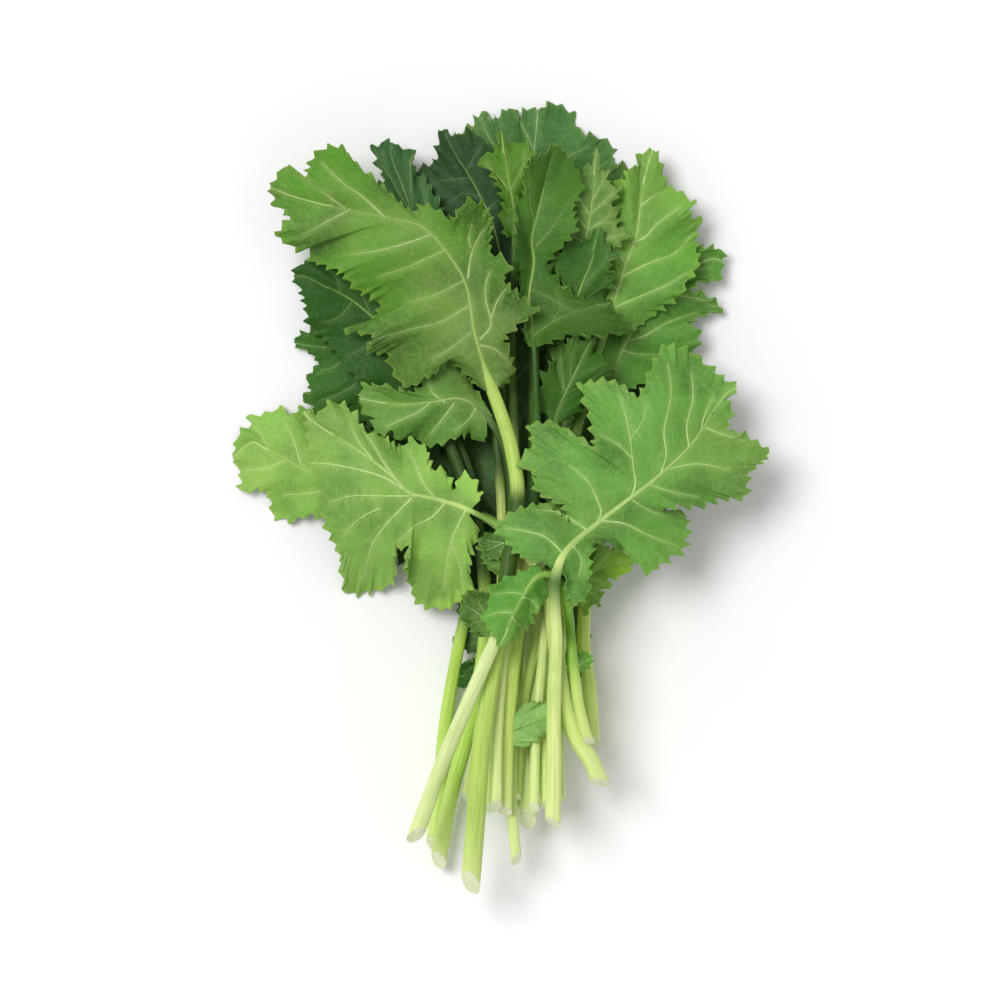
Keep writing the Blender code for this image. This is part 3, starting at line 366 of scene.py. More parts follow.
def on_table(points):
    """Sheet points as pairs of millimetres on the table."""
    return (np.reshape(points, (-1, 2)) - SHEET_CENTRE) * (SHEET_SQUARE, -SHEET_SQUARE)


def through(values, t):
    """Values at places t, counted in rows, on a smooth curve through one value per row: a cubic
    whose slope at each row is half the step between the rows beside it."""
    values = np.asarray(values, float)
    n = np.clip(np.floor(t).astype(int), 0, len(values) - 2)
    f = (t - n)[:, None]
    padded = np.vstack([2 * values[:1] - values[1:2], values, 2 * values[-1:] - values[-2:-1]])
    p0, p1, p2, p3 = (padded[n + k] for k in range(4))
    return 0.5 * (2 * p1 + (p2 - p0) * f + (2 * p0 - 5 * p1 + 4 * p2 - p3) * f**2
                  + (3 * p1 - p0 - 3 * p2 + p3) * f**3)


def unit(vectors):
    """Vectors brought to length 1."""
    return vectors / np.maximum(np.linalg.norm(vectors, axis=-1, keepdims=True), 1e-9)


def arc(points):
    """Distance along a line of points."""
    return np.concatenate([[0], np.cumsum(np.linalg.norm(np.diff(points, axis=0), axis=1))])


class Route:
    """A smooth curve in plan through a leaf's points, by distance from the cut end."""

    def __init__(self, points):
        knots = on_table(points)
        rows = np.arange((len(knots) - 1) * ROUTE_STEPS + 1) / ROUTE_STEPS
        self.line = through(knots, rows)
        self.distance = arc(self.line)
        self.length = self.distance[-1]

    def at(self, distance):
        """Points of the curve."""
        return np.stack([np.interp(distance, self.distance, self.line[:, k]) for k in (0, 1)], -1)

    def frame(self, distance):
        """Unit directions along the curve and to its left, taken over a short reach."""
        ahead = unit(self.at(np.minimum(distance + ROUTE_REACH, self.length))
                     - self.at(np.maximum(distance - ROUTE_REACH, 0)))
        return ahead, np.stack([-ahead[..., 1], ahead[..., 0]], -1)


class Wings:
    """The rows of a blade: where a row starts on the rib and where it ends on the margin."""

    def __init__(self, leaf, route):
        self.leaf = leaf
        self.route = route
        self.start = route.length - leaf.blade
        self.rows = len(leaf.left) // 2 or RULED_ROWS
        draw = np.random.default_rng(leaf.seed).random(4)
        self.uneven = dict(zip(SIDES, draw[2:4] * math.tau))

    def foot(self, a):
        """Distance along the route of a row's foot, for its place a from 0 at the base to 1."""
        return self.start + self.leaf.blade * FAN_END * a**FOOT_POWER

    def end(self, row, side):
        """The margin's point for a row."""
        if row == self.rows:
            return self.route.at(self.route.length)
        if self.leaf.left:
            return on_table(self.leaf.left if side == LEFT else self.leaf.right)[row]
        a = row / self.rows
        ahead, aside = self.route.frame(self.foot(a))
        angle = BASE_ANGLE * (1 - a) ** ANGLE_POWER
        vein = math.cos(angle) * ahead + side * math.sin(angle) * aside
        return self.route.at(self.foot(a)) + self.length(a, side) * vein

    def length(self, a, side):
        """Length of a row by rule: a rounded envelope with bays and teeth."""
        width = self.leaf.widths[SIDES.index(side)]
        shorter, base_end = RULED_BASE
        swing, turns = RULED_UNEVEN
        round_base = 1 - shorter * np.clip(1 - a / base_end, 0, 1) ** 2
        envelope = width * round_base * (1 + swing * np.sin(math.tau * turns * a + self.uneven[side]))
        tip = smoothstep((a - RULED_TIP) / (1 - RULED_TIP))
        envelope = (1 - tip) * envelope + tip * self.leaf.blade * (1 - FAN_END)
        bay = 0.5 - 0.5 * math.cos(math.tau * RULED_LOBES * (1 - a))
        return envelope * (1 - RULED_BAY * bay) + TOOTH * zigzag(a * self.rows)


def sections(leaf, wings):
    """The rows across the leaf: (distance, place on the blade or None, leaflets)."""
    spans = [(wings.start - back, wings.start - back + LEAFLET_ROOT * length, side, length)
             for back, side, length in leaf.leaflets]
    count = max(3, round(wings.start / STALK_STEP))
    plain = [s for s in np.linspace(0, wings.start, count, endpoint=False)
             if not any(low - LEAFLET_CLEAR < s < high + LEAFLET_CLEAR for low, high, _, _ in spans)]
    rows = [(s, None, {}) for s in plain]
    for low, high, side, length in spans:
        rows += [(low + share * (high - low), None, {side: (share, length)}) for share in LEAFLET_SHARES]
    rows.sort(key=lambda row: row[0])
    rows += [(float(wings.foot(a)), a, {}) for a in np.arange(wings.rows + 1) / wings.rows]
    return rows


def rib_radius(leaf, wings, distance):
    """The stalk narrows a little up to the blade, and the rib narrows to its end in the blade."""
    along_stalk = np.clip(distance / wings.start, 0, 1)
    end = wings.foot(1.0)
    along_rib = np.clip((distance - wings.start) / (end - wings.start), 0, 1)
    stalk = leaf.stalk * (1 - (1 - RIB_AT_BASE) * along_stalk**1.5)
    return stalk * (1 - along_rib) ** 0.8 + RIB_AT_END * along_rib


def rib_section(leaf, wings, distance):
    """Radius of the rib, and the height of its side edges and of its crown over its middle."""
    r = rib_radius(leaf, wings, distance)
    shape = smoothstep((distance - wings.start + RIB_TURN / 2) / RIB_TURN)
    side_half = (1 - shape) * r * 0.5 + shape * np.minimum(ROOT_HALF_THICKNESS, r)
    crown = r * (1 - (1 - RIB_TOP) * shape)
    return r, side_half, np.maximum(crown, side_half + 0.1)


def leaflet_vein(share, length):
    """Angle and length of the row at a share of a leaflet's root."""
    angle = LEAFLET_ANGLES[0] - LEAFLET_ANGLES[1] * share
    return angle, max(2.0, length * math.sin(math.pi * (0.12 + 0.72 * share)) ** 0.8)


def unfold(xy, upper, loose):
    """Moves loose points in plan until no triangle is folded over. A triangle that lacks area gets
    it from its corners, each moved in the measure in which it changes the area."""
    free = loose[upper]
    moved = np.unique(upper[free])
    for _ in range(UNFOLD_ROUNDS):
        corners = xy[upper]
        edge = (np.roll(corners, -1, axis=1) - np.roll(corners, 1, axis=1)) / 2
        change = np.stack([edge[..., 1], -edge[..., 0]], -1)
        area = (corners * change).sum(axis=(1, 2)) / 2
        change *= free[..., None]
        lack = np.maximum(LEAST_TRIANGLE - area, 0)
        share = UNFOLD_PACE * lack / np.maximum((change**2).sum(axis=(1, 2)), 1.0)
        move = np.zeros_like(xy)
        np.add.at(move, upper, share[:, None, None] * change)
        xy[moved] += move[moved]


class Plan:
    """The points of a leaf's solid, one row per section: the middle of the rib, and on each side the
    foot, the middle and the rim of the blade. Rows without a wing hold no numbers there."""

    def __init__(self, leaf, route, wings):
        rows = sections(leaf, wings)
        count = len(rows)
        self.distance = np.array([row[0] for row in rows])
        self.first_blade = next(n for n, row in enumerate(rows) if row[1] is not None)
        self.centre = route.at(self.distance)
        ahead, aside = route.frame(self.distance)
        self.radius, self.side_half, self.crown = rib_section(leaf, wings, self.distance)
        wide = RIB_WIDE * self.radius[:, None] * aside
        self.has = {side: np.array([row[1] is not None or side in row[2] for row in rows])
                    for side in SIDES}
        xy = np.full((6, count, 2), np.nan)  # for each side the feet, middles and rims
        for k, side in enumerate(SIDES):
            xy[3 * k] = self.centre + side * wide
            for n, (_, a, leaflets) in enumerate(rows):
                if not self.has[side][n]:
                    continue
                start = self.centre[n] if n == count - 1 else xy[3 * k, n]
                if a is not None:
                    vein = wings.end(round(a * wings.rows), side) - start
                else:
                    angle, length = leaflet_vein(*leaflets[side])
                    vein = length * (math.cos(angle) * ahead[n] + side * math.sin(angle) * aside[n])
                xy[3 * k + 1, n] = start + 0.5 * vein
                xy[3 * k + 2, n] = start + vein
        index = np.arange(6 * count).reshape(6, count)
        index[4:, -1] = index[1:3, -1]
        upper = []
        for k, side in enumerate(SIDES):
            pair = np.flatnonzero(self.has[side][:-1] & self.has[side][1:])
            for inner in (3 * k, 3 * k + 1):
                a, b = index[inner, pair], index[inner + 1, pair]
                d, c = index[inner, pair + 1], index[inner + 1, pair + 1]
                upper += [np.stack([a, b, c], -1)[:, ::-side], np.stack([a, c, d], -1)[:, ::-side]]
        flat = xy.reshape(-1, 2)
        loose = np.repeat([False, True, True] * 2, count)
        unfold(flat, np.vstack(upper), loose)
        flat[index[4:, -1]] = flat[index[1:3, -1]]
        xy = flat[index]
        self.lanes = {side: xy[3 * k:3 * k + 3] for k, side in enumerate(SIDES)}


def node_points(name):
    """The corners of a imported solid, in millimetres."""
    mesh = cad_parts[name].data
    points = np.empty(len(mesh.vertices) * 3, np.float32)
    mesh.vertices.foreach_get("co", points)
    return points.reshape(-1, 3).astype(float) / MM


def node_triangles(name):
    """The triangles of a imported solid, each as its three corners."""
    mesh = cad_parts[name].data
    mesh.calc_loop_triangles()
    corners = np.empty(len(mesh.loop_triangles) * 3, np.int32)
    mesh.loop_triangles.foreach_get("vertices", corners)
    return node_points(name)[corners.reshape(-1, 3)]


def top_height(solid, xy, reach=0.05):
    """Height of a solid's highest corner at each place in plan; the nearest corner's if none is there."""
    shape = xy.shape[:-1]
    flat = xy.reshape(-1, 2)
    apart = np.linalg.norm(flat[:, None] - solid[None, :, :2], axis=2)
    near = apart < np.maximum(apart.min(axis=1, keepdims=True) + 0.02, reach)
    return np.where(near, solid[None, :, 2], -np.inf).max(axis=1).reshape(shape)


def lattice(n):
    """Barycentric weights of evenly spread points in a triangle."""
    return np.array([(i, j, n - i - j) for i in range(n + 1) for j in range(n + 1 - i)]) / n


def widened(grid, pick):
    """A grid whose cells take the pick, such as the greatest, of themselves and their neighbours."""
    wide = np.pad(grid, 1, mode="edge")
    rows, columns = grid.shape
    return pick([wide[i:i + rows, j:j + columns] for i in range(3) for j in range(3)], axis=0)


class HeightMaps:
    """The top and the underside of every solid on a grid of cells over the table."""

    def __init__(self, names):
        self.tops, self.lows = [], []
        weights = lattice(12)
        for name in names:
            spread = np.einsum("kc,fcd->fkd", weights, node_triangles(name)).reshape(-1, 3)
            top = np.full((2 * MAP_HALF[0], 2 * MAP_HALF[1]), -np.inf)
            low = -top
            np.maximum.at(top, self.cell(spread), spread[:, 2])
            np.minimum.at(low, self.cell(spread), spread[:, 2])
            self.tops.append(widened(top, np.max))
            self.lows.append(widened(low, np.min))

    def cell(self, points):
        """The cells that points lie over, the nearest ones for points off the grid."""
        i = np.clip((points[..., 0] + MAP_HALF[0]) / CELL, 0, 2 * MAP_HALF[0] - 1).astype(int)
        j = np.clip((points[..., 1] + MAP_HALF[1]) / CELL, 0, 2 * MAP_HALF[1] - 1).astype(int)
        return i, j

    def room(self, n, points):
        """The lowest and highest that points of solid n's skin may lie: halfway to what is under it
        and to what is over it."""
        at = self.cell(points)
        own_top, own_low = self.tops[n][at], self.lows[n][at]
        off = np.isinf(own_top)
        own_top = np.where(off, points[..., 2], own_top)
        own_low = np.where(off, points[..., 2] - BLADE_THICKNESS, own_low)
        below = np.max([top[at] for top in self.tops[:n]] + [np.zeros(points.shape[:-1])], axis=0)
        above = np.min([low[at] for low in self.lows[n + 1:]] + [np.full(points.shape[:-1], np.inf)],
                       axis=0)
        floor = (below + np.minimum(own_low, own_top)) / 2
        ceiling = (above + own_top) / 2
        return np.maximum(floor, 0.0) + SKIN_GAP + BLADE_THICKNESS, ceiling - SKIN_GAP


def grid_quads(index):
    """Quads of a grid of point numbers, facing up where columns run right and rows run ahead."""
    return np.stack([index[:-1, :-1], index[:-1, 1:], index[1:, 1:], index[1:, :-1]], -1).reshape(-1, 4)


def grid_normals(points):
    """Unit normals of a grid of points, from the steps to the points beside each."""
    return unit(np.cross(np.gradient(points, axis=1), np.gradient(points, axis=0)))


class Build:
    """Points and faces gathered for one mesh, with a material number and three values per point."""

    def __init__(self):
        self.points, self.faces, self.kinds, self.values = [], [], [], []
        self.count = 0

    def add(self, points, groups, values):
        """Takes points with their values, and the faces between them in groups (faces, material)."""
        self.points.append(points.reshape(-1, 3))
        self.values.append(values.reshape(-1, 3))
        for faces, kind in groups:
            self.faces.append(faces + self.count)
            self.kinds.append(np.full(len(faces), kind))
        self.count += len(self.points[-1])

    def make(self, name, materials):
        """The object, from the points that a face uses."""
        points = np.vstack(self.points) * MM
        used = np.unique(np.concatenate([f.ravel() for f in self.faces]))
        renumber = np.full(self.count, -1)
        renumber[used] = np.arange(len(used))
        corners = np.concatenate([renumber[f].ravel() for f in self.faces])
        sizes = np.concatenate([np.full(len(f), f.shape[1]) for f in self.faces])
        mesh = bpy.data.meshes.new(name)
        mesh.vertices.add(len(used))
        mesh.vertices.foreach_set("co", points[used].ravel())
        mesh.loops.add(len(corners))
        mesh.loops.foreach_set("vertex_index", corners)
        mesh.polygons.add(len(sizes))
        mesh.polygons.foreach_set("loop_start", np.concatenate([[0], np.cumsum(sizes)[:-1]]))
        mesh.polygons.foreach_set("material_index", np.concatenate(self.kinds))
        mesh.update(calc_edges=True)
        mesh.validate()
        values = np.vstack(self.values)[used]
        for k, title in enumerate(("vein", "rim", "along")):
            layer = mesh.attributes.new(title, "FLOAT", "POINT")
            layer.data.foreach_set("value", values[:, k].astype(np.float32))
        for material in materials:
            mesh.materials.append(material)
        mesh.shade_smooth()
        mesh.set_sharp_from_angle(angle=SHARP_EDGE)
        made = bpy.data.objects.new(name, mesh)
        bpy.context.scene.collection.objects.link(made)
        return made


FACES = ("upper", "under", "rim")
UPPER, UNDER, RIM = 0, 1, 2  # materials of a blade piece
SKIN, CUT, VEIN = 0, 1, 2  # materials of a stalk piece


def add_shell(build, top, thickness, values, seam=False):
    """A closed sheet: a grid of points, the same grid moved back along its normals, and the walls
    round them. With a seam, the last row's two halves are one line, from its ends to its middle."""
    rows, columns = top.shape[:2]
    low = top - thickness * grid_normals(top)
    index = np.arange(rows * columns).reshape(rows, columns)
    if seam:
        half = columns // 2
        index[-1, half + 1:] = index[-1, :half][::-1]
    low[..., 2] = np.maximum(low[..., 2], 0.05)
    under = index + rows * columns
    walls = [np.stack([index[:-1, 0], index[1:, 0], under[1:, 0], under[:-1, 0]], -1),
             np.stack([index[1:, -1], index[:-1, -1], under[:-1, -1], under[1:, -1]], -1),
             np.stack([index[0, 1:], index[0, :-1], under[0, :-1], under[0, 1:]], -1)]
    if not seam:
        walls.append(np.stack([index[-1, :-1], index[-1, 1:], under[-1, 1:], under[-1, :-1]], -1))
    groups = ((grid_quads(index), UPPER), (grid_quads(under)[:, ::-1], UNDER), (np.vstack(walls), RIM))
    build.add(np.stack([top, low]), groups, np.stack([values, values]))


def add_tube(build, middle, across, up, low, kind, ridges=0.0, sides=10, slant=0.0, lean=0.0):
    """A closed rod along a line of points. Its section reaches across to the sides, up and low from
    the middle, each by its own half axis, and may be ridged. The first section may be cut aslant, and
    lean so that it shows from above, and the sections after it lean less and less."""
    ahead = unit(np.gradient(middle, axis=0))
    level = unit(np.cross((0, 0, 1), ahead))
    level = np.where(np.abs(ahead[:, 2:]) > 0.999, (1.0, 0, 0), level)
    raised = np.cross(ahead, level)
    angle = math.tau * np.arange(sides) / sides
    ridge = 1 + ridges * np.cos(5 * angle)
    across, up, low = (np.broadcast_to(x, len(middle))[:, None] for x in (across, up, low))
    wide = across * np.cos(angle) * ridge
    tall = np.where(np.sin(angle) > 0, up, low) * np.sin(angle) * ridge
    rings = middle[:, None] + wide[..., None] * level[:, None] + tall[..., None] * raised[:, None]
    fade = np.clip(1 - arc(middle) / CUT_FADE, 0, 1)
    rings += (fade[:, None] * (slant * wide[0] + lean * (tall[0] + low[0])))[..., None] * ahead[0]
    rows = len(middle)
    index = np.arange(rows * sides).reshape(rows, sides)
    index = np.hstack([index, index[:, :1]])
    points = np.vstack([rings.reshape(-1, 3), rings[:1].mean(axis=1), middle[-1:]])
    root, tip = np.full(sides, rows * sides), np.full(sides, rows * sides + 1)
    groups = ((grid_quads(index), kind),
              (np.stack([index[0, 1:], index[0, :-1], root], -1), CUT if kind == SKIN else kind),
              (np.stack([index[-1, :-1], index[-1, 1:], tip], -1), kind))
    along = np.concatenate([np.repeat(arc(middle), sides), [0, arc(middle)[-1]]])
    turn = np.concatenate([np.tile(angle, rows), [0, 0]])
    build.add(points, groups, np.stack([np.cos(turn), np.sin(turn), along], -1))


def add_vein(build, line, width):
    """A raised vein along a line of points, thinner towards its end."""
    size = width * (1 - VEIN_TAPER * np.linspace(0, 1, len(line)))
    add_tube(build, line, size, VEIN_FLATNESS * size, 0.3, VEIN, sides=6)


def across_lanes(stations):
    """A grid of points, a row for each place and a column for each lane, on smooth curves through
    its feet, middles and rims."""
    lanes = through(stations.reshape(3, -1), 2 * LANES)
    return lanes.reshape(len(LANES), -1, 3).transpose(1, 0, 2)


class Blade:
    """One leaf's fine surface in places (t, v): t counts rows from the base to the tip, and v runs
    from 0 at the rib to 1 at the margin."""

    def __init__(self, leaf, route, wings, plan, solid):
        self.leaf, self.route, self.wings = leaf, route, wings
        first = plan.first_blade
        tops = top_height(solid, plan.centre) - plan.crown
        fine = np.arange(0, route.length, 1.0)
        raw = np.interp(fine, plan.distance, tops)
        window = np.hanning(SPINE_WINDOW)
        self.fine = fine
        self.spine = np.convolve(np.pad(raw, SPINE_WINDOW // 2, mode="edge"), window / window.sum(),
                                 mode="valid")
        self.lanes = {}
        for side in SIDES:
            lanes = plan.lanes[side][:, first:]
            heights = top_height(solid, lanes[1:])
            self.lanes[side] = np.concatenate([lanes[1:], heights[..., None]], axis=-1)
        self.rows = wings.rows

    def spine_height(self, distance):
        """Height of the rib's middle at distances along the route."""
        return np.interp(distance, self.fine, self.spine)

    def columns(self, step):
        """Places t of the grid's rows, spaced so that the longer margin is walked in even steps."""
        coarse = np.linspace(0, self.rows, self.rows * 16 + 1)
        walks = [arc(through(self.lanes[side][1], coarse)[:, :2]) for side in SIDES]
        walk = (walks[0] / walks[0][-1] + walks[1] / walks[1][-1]) / 2
        count = int(max(w[-1] for w in walks) / step)
        return np.interp(np.linspace(0, 1, count), walk, coarse)

    def side_grid(self, side, t):
        """Rows of points from the rib's edge to the margin, on smooth curves through the solid's."""
        a = t / self.rows
        distance = self.wings.foot(a)
        r, side_half, _ = rib_section(self.leaf, self.wings, distance)
        _, aside = self.route.frame(distance)
        foot = np.concatenate([self.route.at(distance) + side * RIB_WIDE * r[:, None] * aside,
                               (self.spine_height(distance) + side_half)[:, None]], axis=1)
        middle = through(self.lanes[side][0], t)
        smooth = through(self.lanes[side][1], t)
        sharp = np.stack([np.interp(t, np.arange(self.rows + 1), self.lanes[side][1][:, k])
                          for k in range(3)], -1)
        rim = RIM_SMOOTH * smooth + (1 - RIM_SMOOTH) * sharp
        return across_lanes(np.stack([foot, middle, rim]))

    def grid(self, step):
        """The whole blade from the left margin over the rib to the right margin."""
        t = self.columns(step)
        sides = {side: self.side_grid(side, t) for side in SIDES}
        distance = self.wings.foot(t / self.rows)
        middle = np.concatenate([self.route.at(distance),
                                 (self.spine_height(distance) + 0.2)[:, None]], axis=1)
        self.t = t
        return np.concatenate([sides[LEFT][:, ::-1], middle[:, None], sides[RIGHT]], axis=1)


def add_teeth(lanes, side, rng, height, spacing, fade, start):
    """Gives teeth to the margin of a grid of lanes: each rises over two thirds of its length, to a
    sharp point that leans ahead, and falls over the last third. The lanes from a start outwards move
    with the margin, the more the nearer they lie to it."""
    line = lanes[:, -1, :2]
    walk = arc(line)
    count = max(3, int(walk[-1] / spacing))
    knots = np.cumsum(rng.uniform(*TOOTH_LENGTHS, count))
    knots = np.concatenate([[0], knots / knots[-1]]) * walk[-1]
    place = np.interp(walk, knots, np.arange(count + 1))
    number = np.minimum(place.astype(int), count - 1)
    f = place - number
    rise = np.where(f < TOOTH_RISE, (f / TOOTH_RISE) ** 2.0, ((1 - f) / (1 - TOOTH_RISE)) ** 1.4)
    size = height * rng.uniform(*TOOTH_HEIGHTS, count)[number]
    ahead = unit(np.gradient(line, axis=0))
    outward = side * np.stack([-ahead[:, 1], ahead[:, 0]], -1)
    ends = smoothstep(walk / fade) * smoothstep((walk[-1] - walk) / fade)
    move = (size * (rise - TOOTH_BASE) * ends)[:, None] * (outward + TOOTH_LEAN * ahead)
    lanes[..., :2] += smoothstep((LANES - start) / (1 - start))[None, :, None] * move[:, None]


def wander(rng, walk, spacing):
    """A smooth line that wanders between -1 and 1, with a turn at about every spacing."""
    knots = rng.uniform(-1, 1, (int(walk[-1] / spacing) + 3, 1))
    return through(knots, walk / spacing)[:, 0]


def ruffle(lanes, rng):
    """Waves on one side of a blade that grow towards the margin. They fade at the margin's ends, and
    where the lanes meet the margin at a slant, beside a lobe."""
    rim = lanes[:, -1, :2]
    walk = arc(rim)
    ahead, outwards = unit(np.gradient(rim, axis=0)), unit(rim - lanes[:, -4, :2])
    square = np.abs(ahead[:, 0] * outwards[:, 1] - ahead[:, 1] * outwards[:, 0])
    square = np.convolve(np.pad(square, SQUARE_WINDOW // 2, mode="edge"),
                         np.full(SQUARE_WINDOW, 1 / SQUARE_WINDOW), mode="valid")
    ends = (smoothstep(walk / RUFFLE_END) * smoothstep((walk[-1] - walk) / RUFFLE_END)
            * smoothstep((square - SLANTING) / (SQUARE - SLANTING)))
    for spacing, height, power in RUFFLES:
        wave = wander(rng, walk, spacing) * ends
        lanes[..., 2] += height * wave[:, None] * LANES**power


def near_line(points, lines, width):
    """1 on the lines of points and less away from them, by the bell curve of a width."""
    flat = points.reshape(-1, 2)
    least = np.full(len(flat), np.inf)
    for line in lines:
        apart = ((flat[:, None] - line[None]) ** 2).sum(axis=2).min(axis=1)
        least = np.minimum(least, apart)
    return np.exp(-least / width**2).reshape(points.shape[:-1])


class Cloth:
    """A grid of points as a surface that lines are laid on."""

    def __init__(self, grid):
        index = np.arange(grid.shape[0] * grid.shape[1]).reshape(grid.shape[:2])
        self.flat = grid.reshape(-1, 3)
        self.tree = BVHTree.FromPolygons(self.flat.tolist(), grid_quads(index).tolist())

    def drape(self, places, raised=0.0):
        """Points on the surface over places in plan, or at the height of the nearest grid point where
        the surface doesn't reach; smoothed a little along the line."""
        heights = []
        for x, y in places:
            hit = self.tree.ray_cast((x, y, 200.0), (0, 0, -1))[0]
            nearest = ((self.flat[:, :2] - (x, y)) ** 2).sum(axis=1).argmin()
            heights.append(hit.z if hit else self.flat[nearest, 2])
        padded = np.pad(heights, 1, mode="edge")
        smooth = np.maximum((padded[:-2] + 2 * padded[1:-1] + padded[2:]) / 4, heights)
        return np.concatenate([places, smooth[:, None] + raised], axis=1)


def spot(grid, t_line, t, lane_line, lane):
    """Places in plan of a grid at fractions between its rows and columns."""
    row = np.interp(t, t_line, np.arange(len(t_line)))
    column = np.interp(lane, lane_line, np.arange(len(lane_line)))
    i = np.minimum(row.astype(int), len(t_line) - 2)
    j = np.minimum(column.astype(int), len(lane_line) - 2)
    f, g = (row - i)[:, None], (column - j)[:, None]
    return ((1 - f) * (1 - g) * grid[i, j] + f * (1 - g) * grid[i + 1, j]
            + (1 - f) * g * grid[i, j + 1] + f * g * grid[i + 1, j + 1])


def ruled_veins(blade, grid, rng):
    """Side veins drawn by rule: one to the tip of each lobe, bowed towards the leaf's tip, with two
    shorter branches. Gives (width at the root, points in plan)."""
    signed = np.concatenate([-LANES[::-1] - 0.001, [0], LANES + 0.001])
    veins = []
    for side in SIDES:
        rim = blade.lanes[side][1][:-1, :2]
        foot = blade.route.at(blade.wings.foot(np.arange(blade.rows) / blade.rows))
        reach = np.linalg.norm(rim - foot, axis=1)
        padded = np.pad(reach, 1)
        tips = [n for n in range(blade.rows) if reach[n] >= padded[n] and reach[n] >= padded[n + 2]
                and reach[n] > LEAST_LOBE]
        for n in tips:
            bow = rng.uniform(*VEIN_BOWS)
            v = np.linspace(0, rng.uniform(*VEIN_ENDS), 22)
            t = n - bow * (1 - v) ** 1.6 * 1.5 + 0.3 * np.sin(v * 3.0 + rng.uniform(0, 6)) * v
            t = np.clip(t, 0.02, blade.rows - 0.05)
            width = 0.2 + 0.25 * min(1, reach[n] / 60)
            veins.append((width, spot(grid, blade.t, t, signed, -side * v)[:, :2]))
            for turn in (-1, 1):
                root = rng.uniform(*BRANCH_ROOTS)
                w = np.linspace(root, rng.uniform(*BRANCH_ENDS), 12)
                spread = (w - root) / (1 - root)
                aim = np.interp(w, v, t) + turn * rng.uniform(*BRANCH_TURNS) * spread**0.8
                aim = np.clip(aim, 0.02, blade.rows - 0.05)
                veins.append((width * 0.5, spot(grid, blade.t, aim, signed, -side * w)[:, :2]))
    return veins


def drawn_veins(leaf):
    """Side veins drawn on the sheet, as smooth lines."""
    veins = []
    for width, *points in leaf.veins:
        knots = on_table(points)
        veins.append((width, through(knots, np.linspace(0, len(knots) - 1, 10 * len(knots)))))
    return veins


class Socket:
    """A node's output that Python sums can be written with."""

    def __init__(self, tree, link):
        self.tree, self.link = tree, link

    def maths(self, operation, *values):
        """The result of a Math node."""
        return self.tree.node("ShaderNodeMath", values, operation=operation)

    def __add__(self, other):
        return self.maths("ADD", self, other)

    def __sub__(self, other):
        return self.maths("SUBTRACT", self, other)

    def __rsub__(self, other):
        return self.maths("SUBTRACT", other, self)

    def __mul__(self, other):
        return self.maths("MULTIPLY", self, other)

    __radd__, __rmul__ = __add__, __mul__

    def clamp(self):
        return self.tree.node("ShaderNodeClamp", [self])


class Tree:
    """A material's nodes, added one by one."""

    def __init__(self, name):
        self.material = bpy.data.materials.new(name)
        self.material.use_nodes = True
        self.nodes = self.material.node_tree.nodes
        self.shader = self.nodes["Principled BSDF"]

    def put(self, socket, value):
        """Sets an input, or links it."""
        if isinstance(value, Socket):
            self.material.node_tree.links.new(value.link, socket)
        else:
            socket.default_value = value

    def node(self, kind, values=(), output=0, **settings):
        """A node of a type with its settings, then the values or links of its sockets, by number or
        by name."""
        made = self.nodes.new(kind)
        for key, value in settings.items():
            setattr(made, key, value)
        pairs = values.items() if isinstance(values, dict) else enumerate(values)
        for key, value in pairs:
            self.put(made.inputs[key], value)
        return Socket(self, made.outputs[output])

    def mix(self, share, first, second):
        """Colours mixed by a share."""
        return self.node("ShaderNodeMix", {0: share, 6: first, 7: second}, output=2, data_type="RGBA")

    def place(self):
        return self.node("ShaderNodeTexCoord", output="Object")

    def noise(self, scale, detail=2.0, vector=None, roughness=0.5):
        return self.node("ShaderNodeTexNoise", {"Vector": vector or self.place(), "Scale": scale,
                                                "Detail": detail, "Roughness": roughness})

    def cells(self, scale):
        """Distance to the nearest edge of irregular cells."""
        return self.node("ShaderNodeTexVoronoi", {"Vector": self.place(), "Scale": scale},
                         feature="DISTANCE_TO_EDGE")

    def step(self, value, low, high):
        """0 below low, 1 above high and a smooth turn between them; low may be the greater."""
        return self.node("ShaderNodeMapRange", {"Value": value, "From Min": low, "From Max": high},
                         interpolation_type="SMOOTHSTEP")

    def value(self, name):
        """One of the values that the mesh has at each point."""
        return self.node("ShaderNodeAttribute", output="Fac", attribute_name=name)

    def finish(self, colour, roughness, bump, depth, shine=0.5):
        """The material, with its colour, roughness, relief and how strongly it mirrors."""
        normal = self.node("ShaderNodeBump", {"Strength": 1.0, "Distance": depth, "Height": bump})
        for name, value in (("Base Color", colour), ("Roughness", roughness), ("Normal", normal),
                            ("Specular IOR Level", shine)):
            self.put(self.shader.inputs[name], value)
        return self.material


def linear(colour, gain=1.0):
    """A colour as on a screen, 0 to 255 each, as a colour of light."""
    c = np.array(colour) / 255
    c = np.where(c <= 0.04045, c / 12.92, ((c + 0.055) / 1.055) ** 2.4) * gain
    return (*np.clip(c, 0, 1), 1.0)


def blend(first, second, share):
    """A colour between two others."""
    return tuple((1 - share) * np.array(first) + share * np.array(second))


def lift(colour):
    """How strongly a leaf shows its pale marks: a dark leaf shows them less."""
    return min(1.0, sum(colour) / 300)


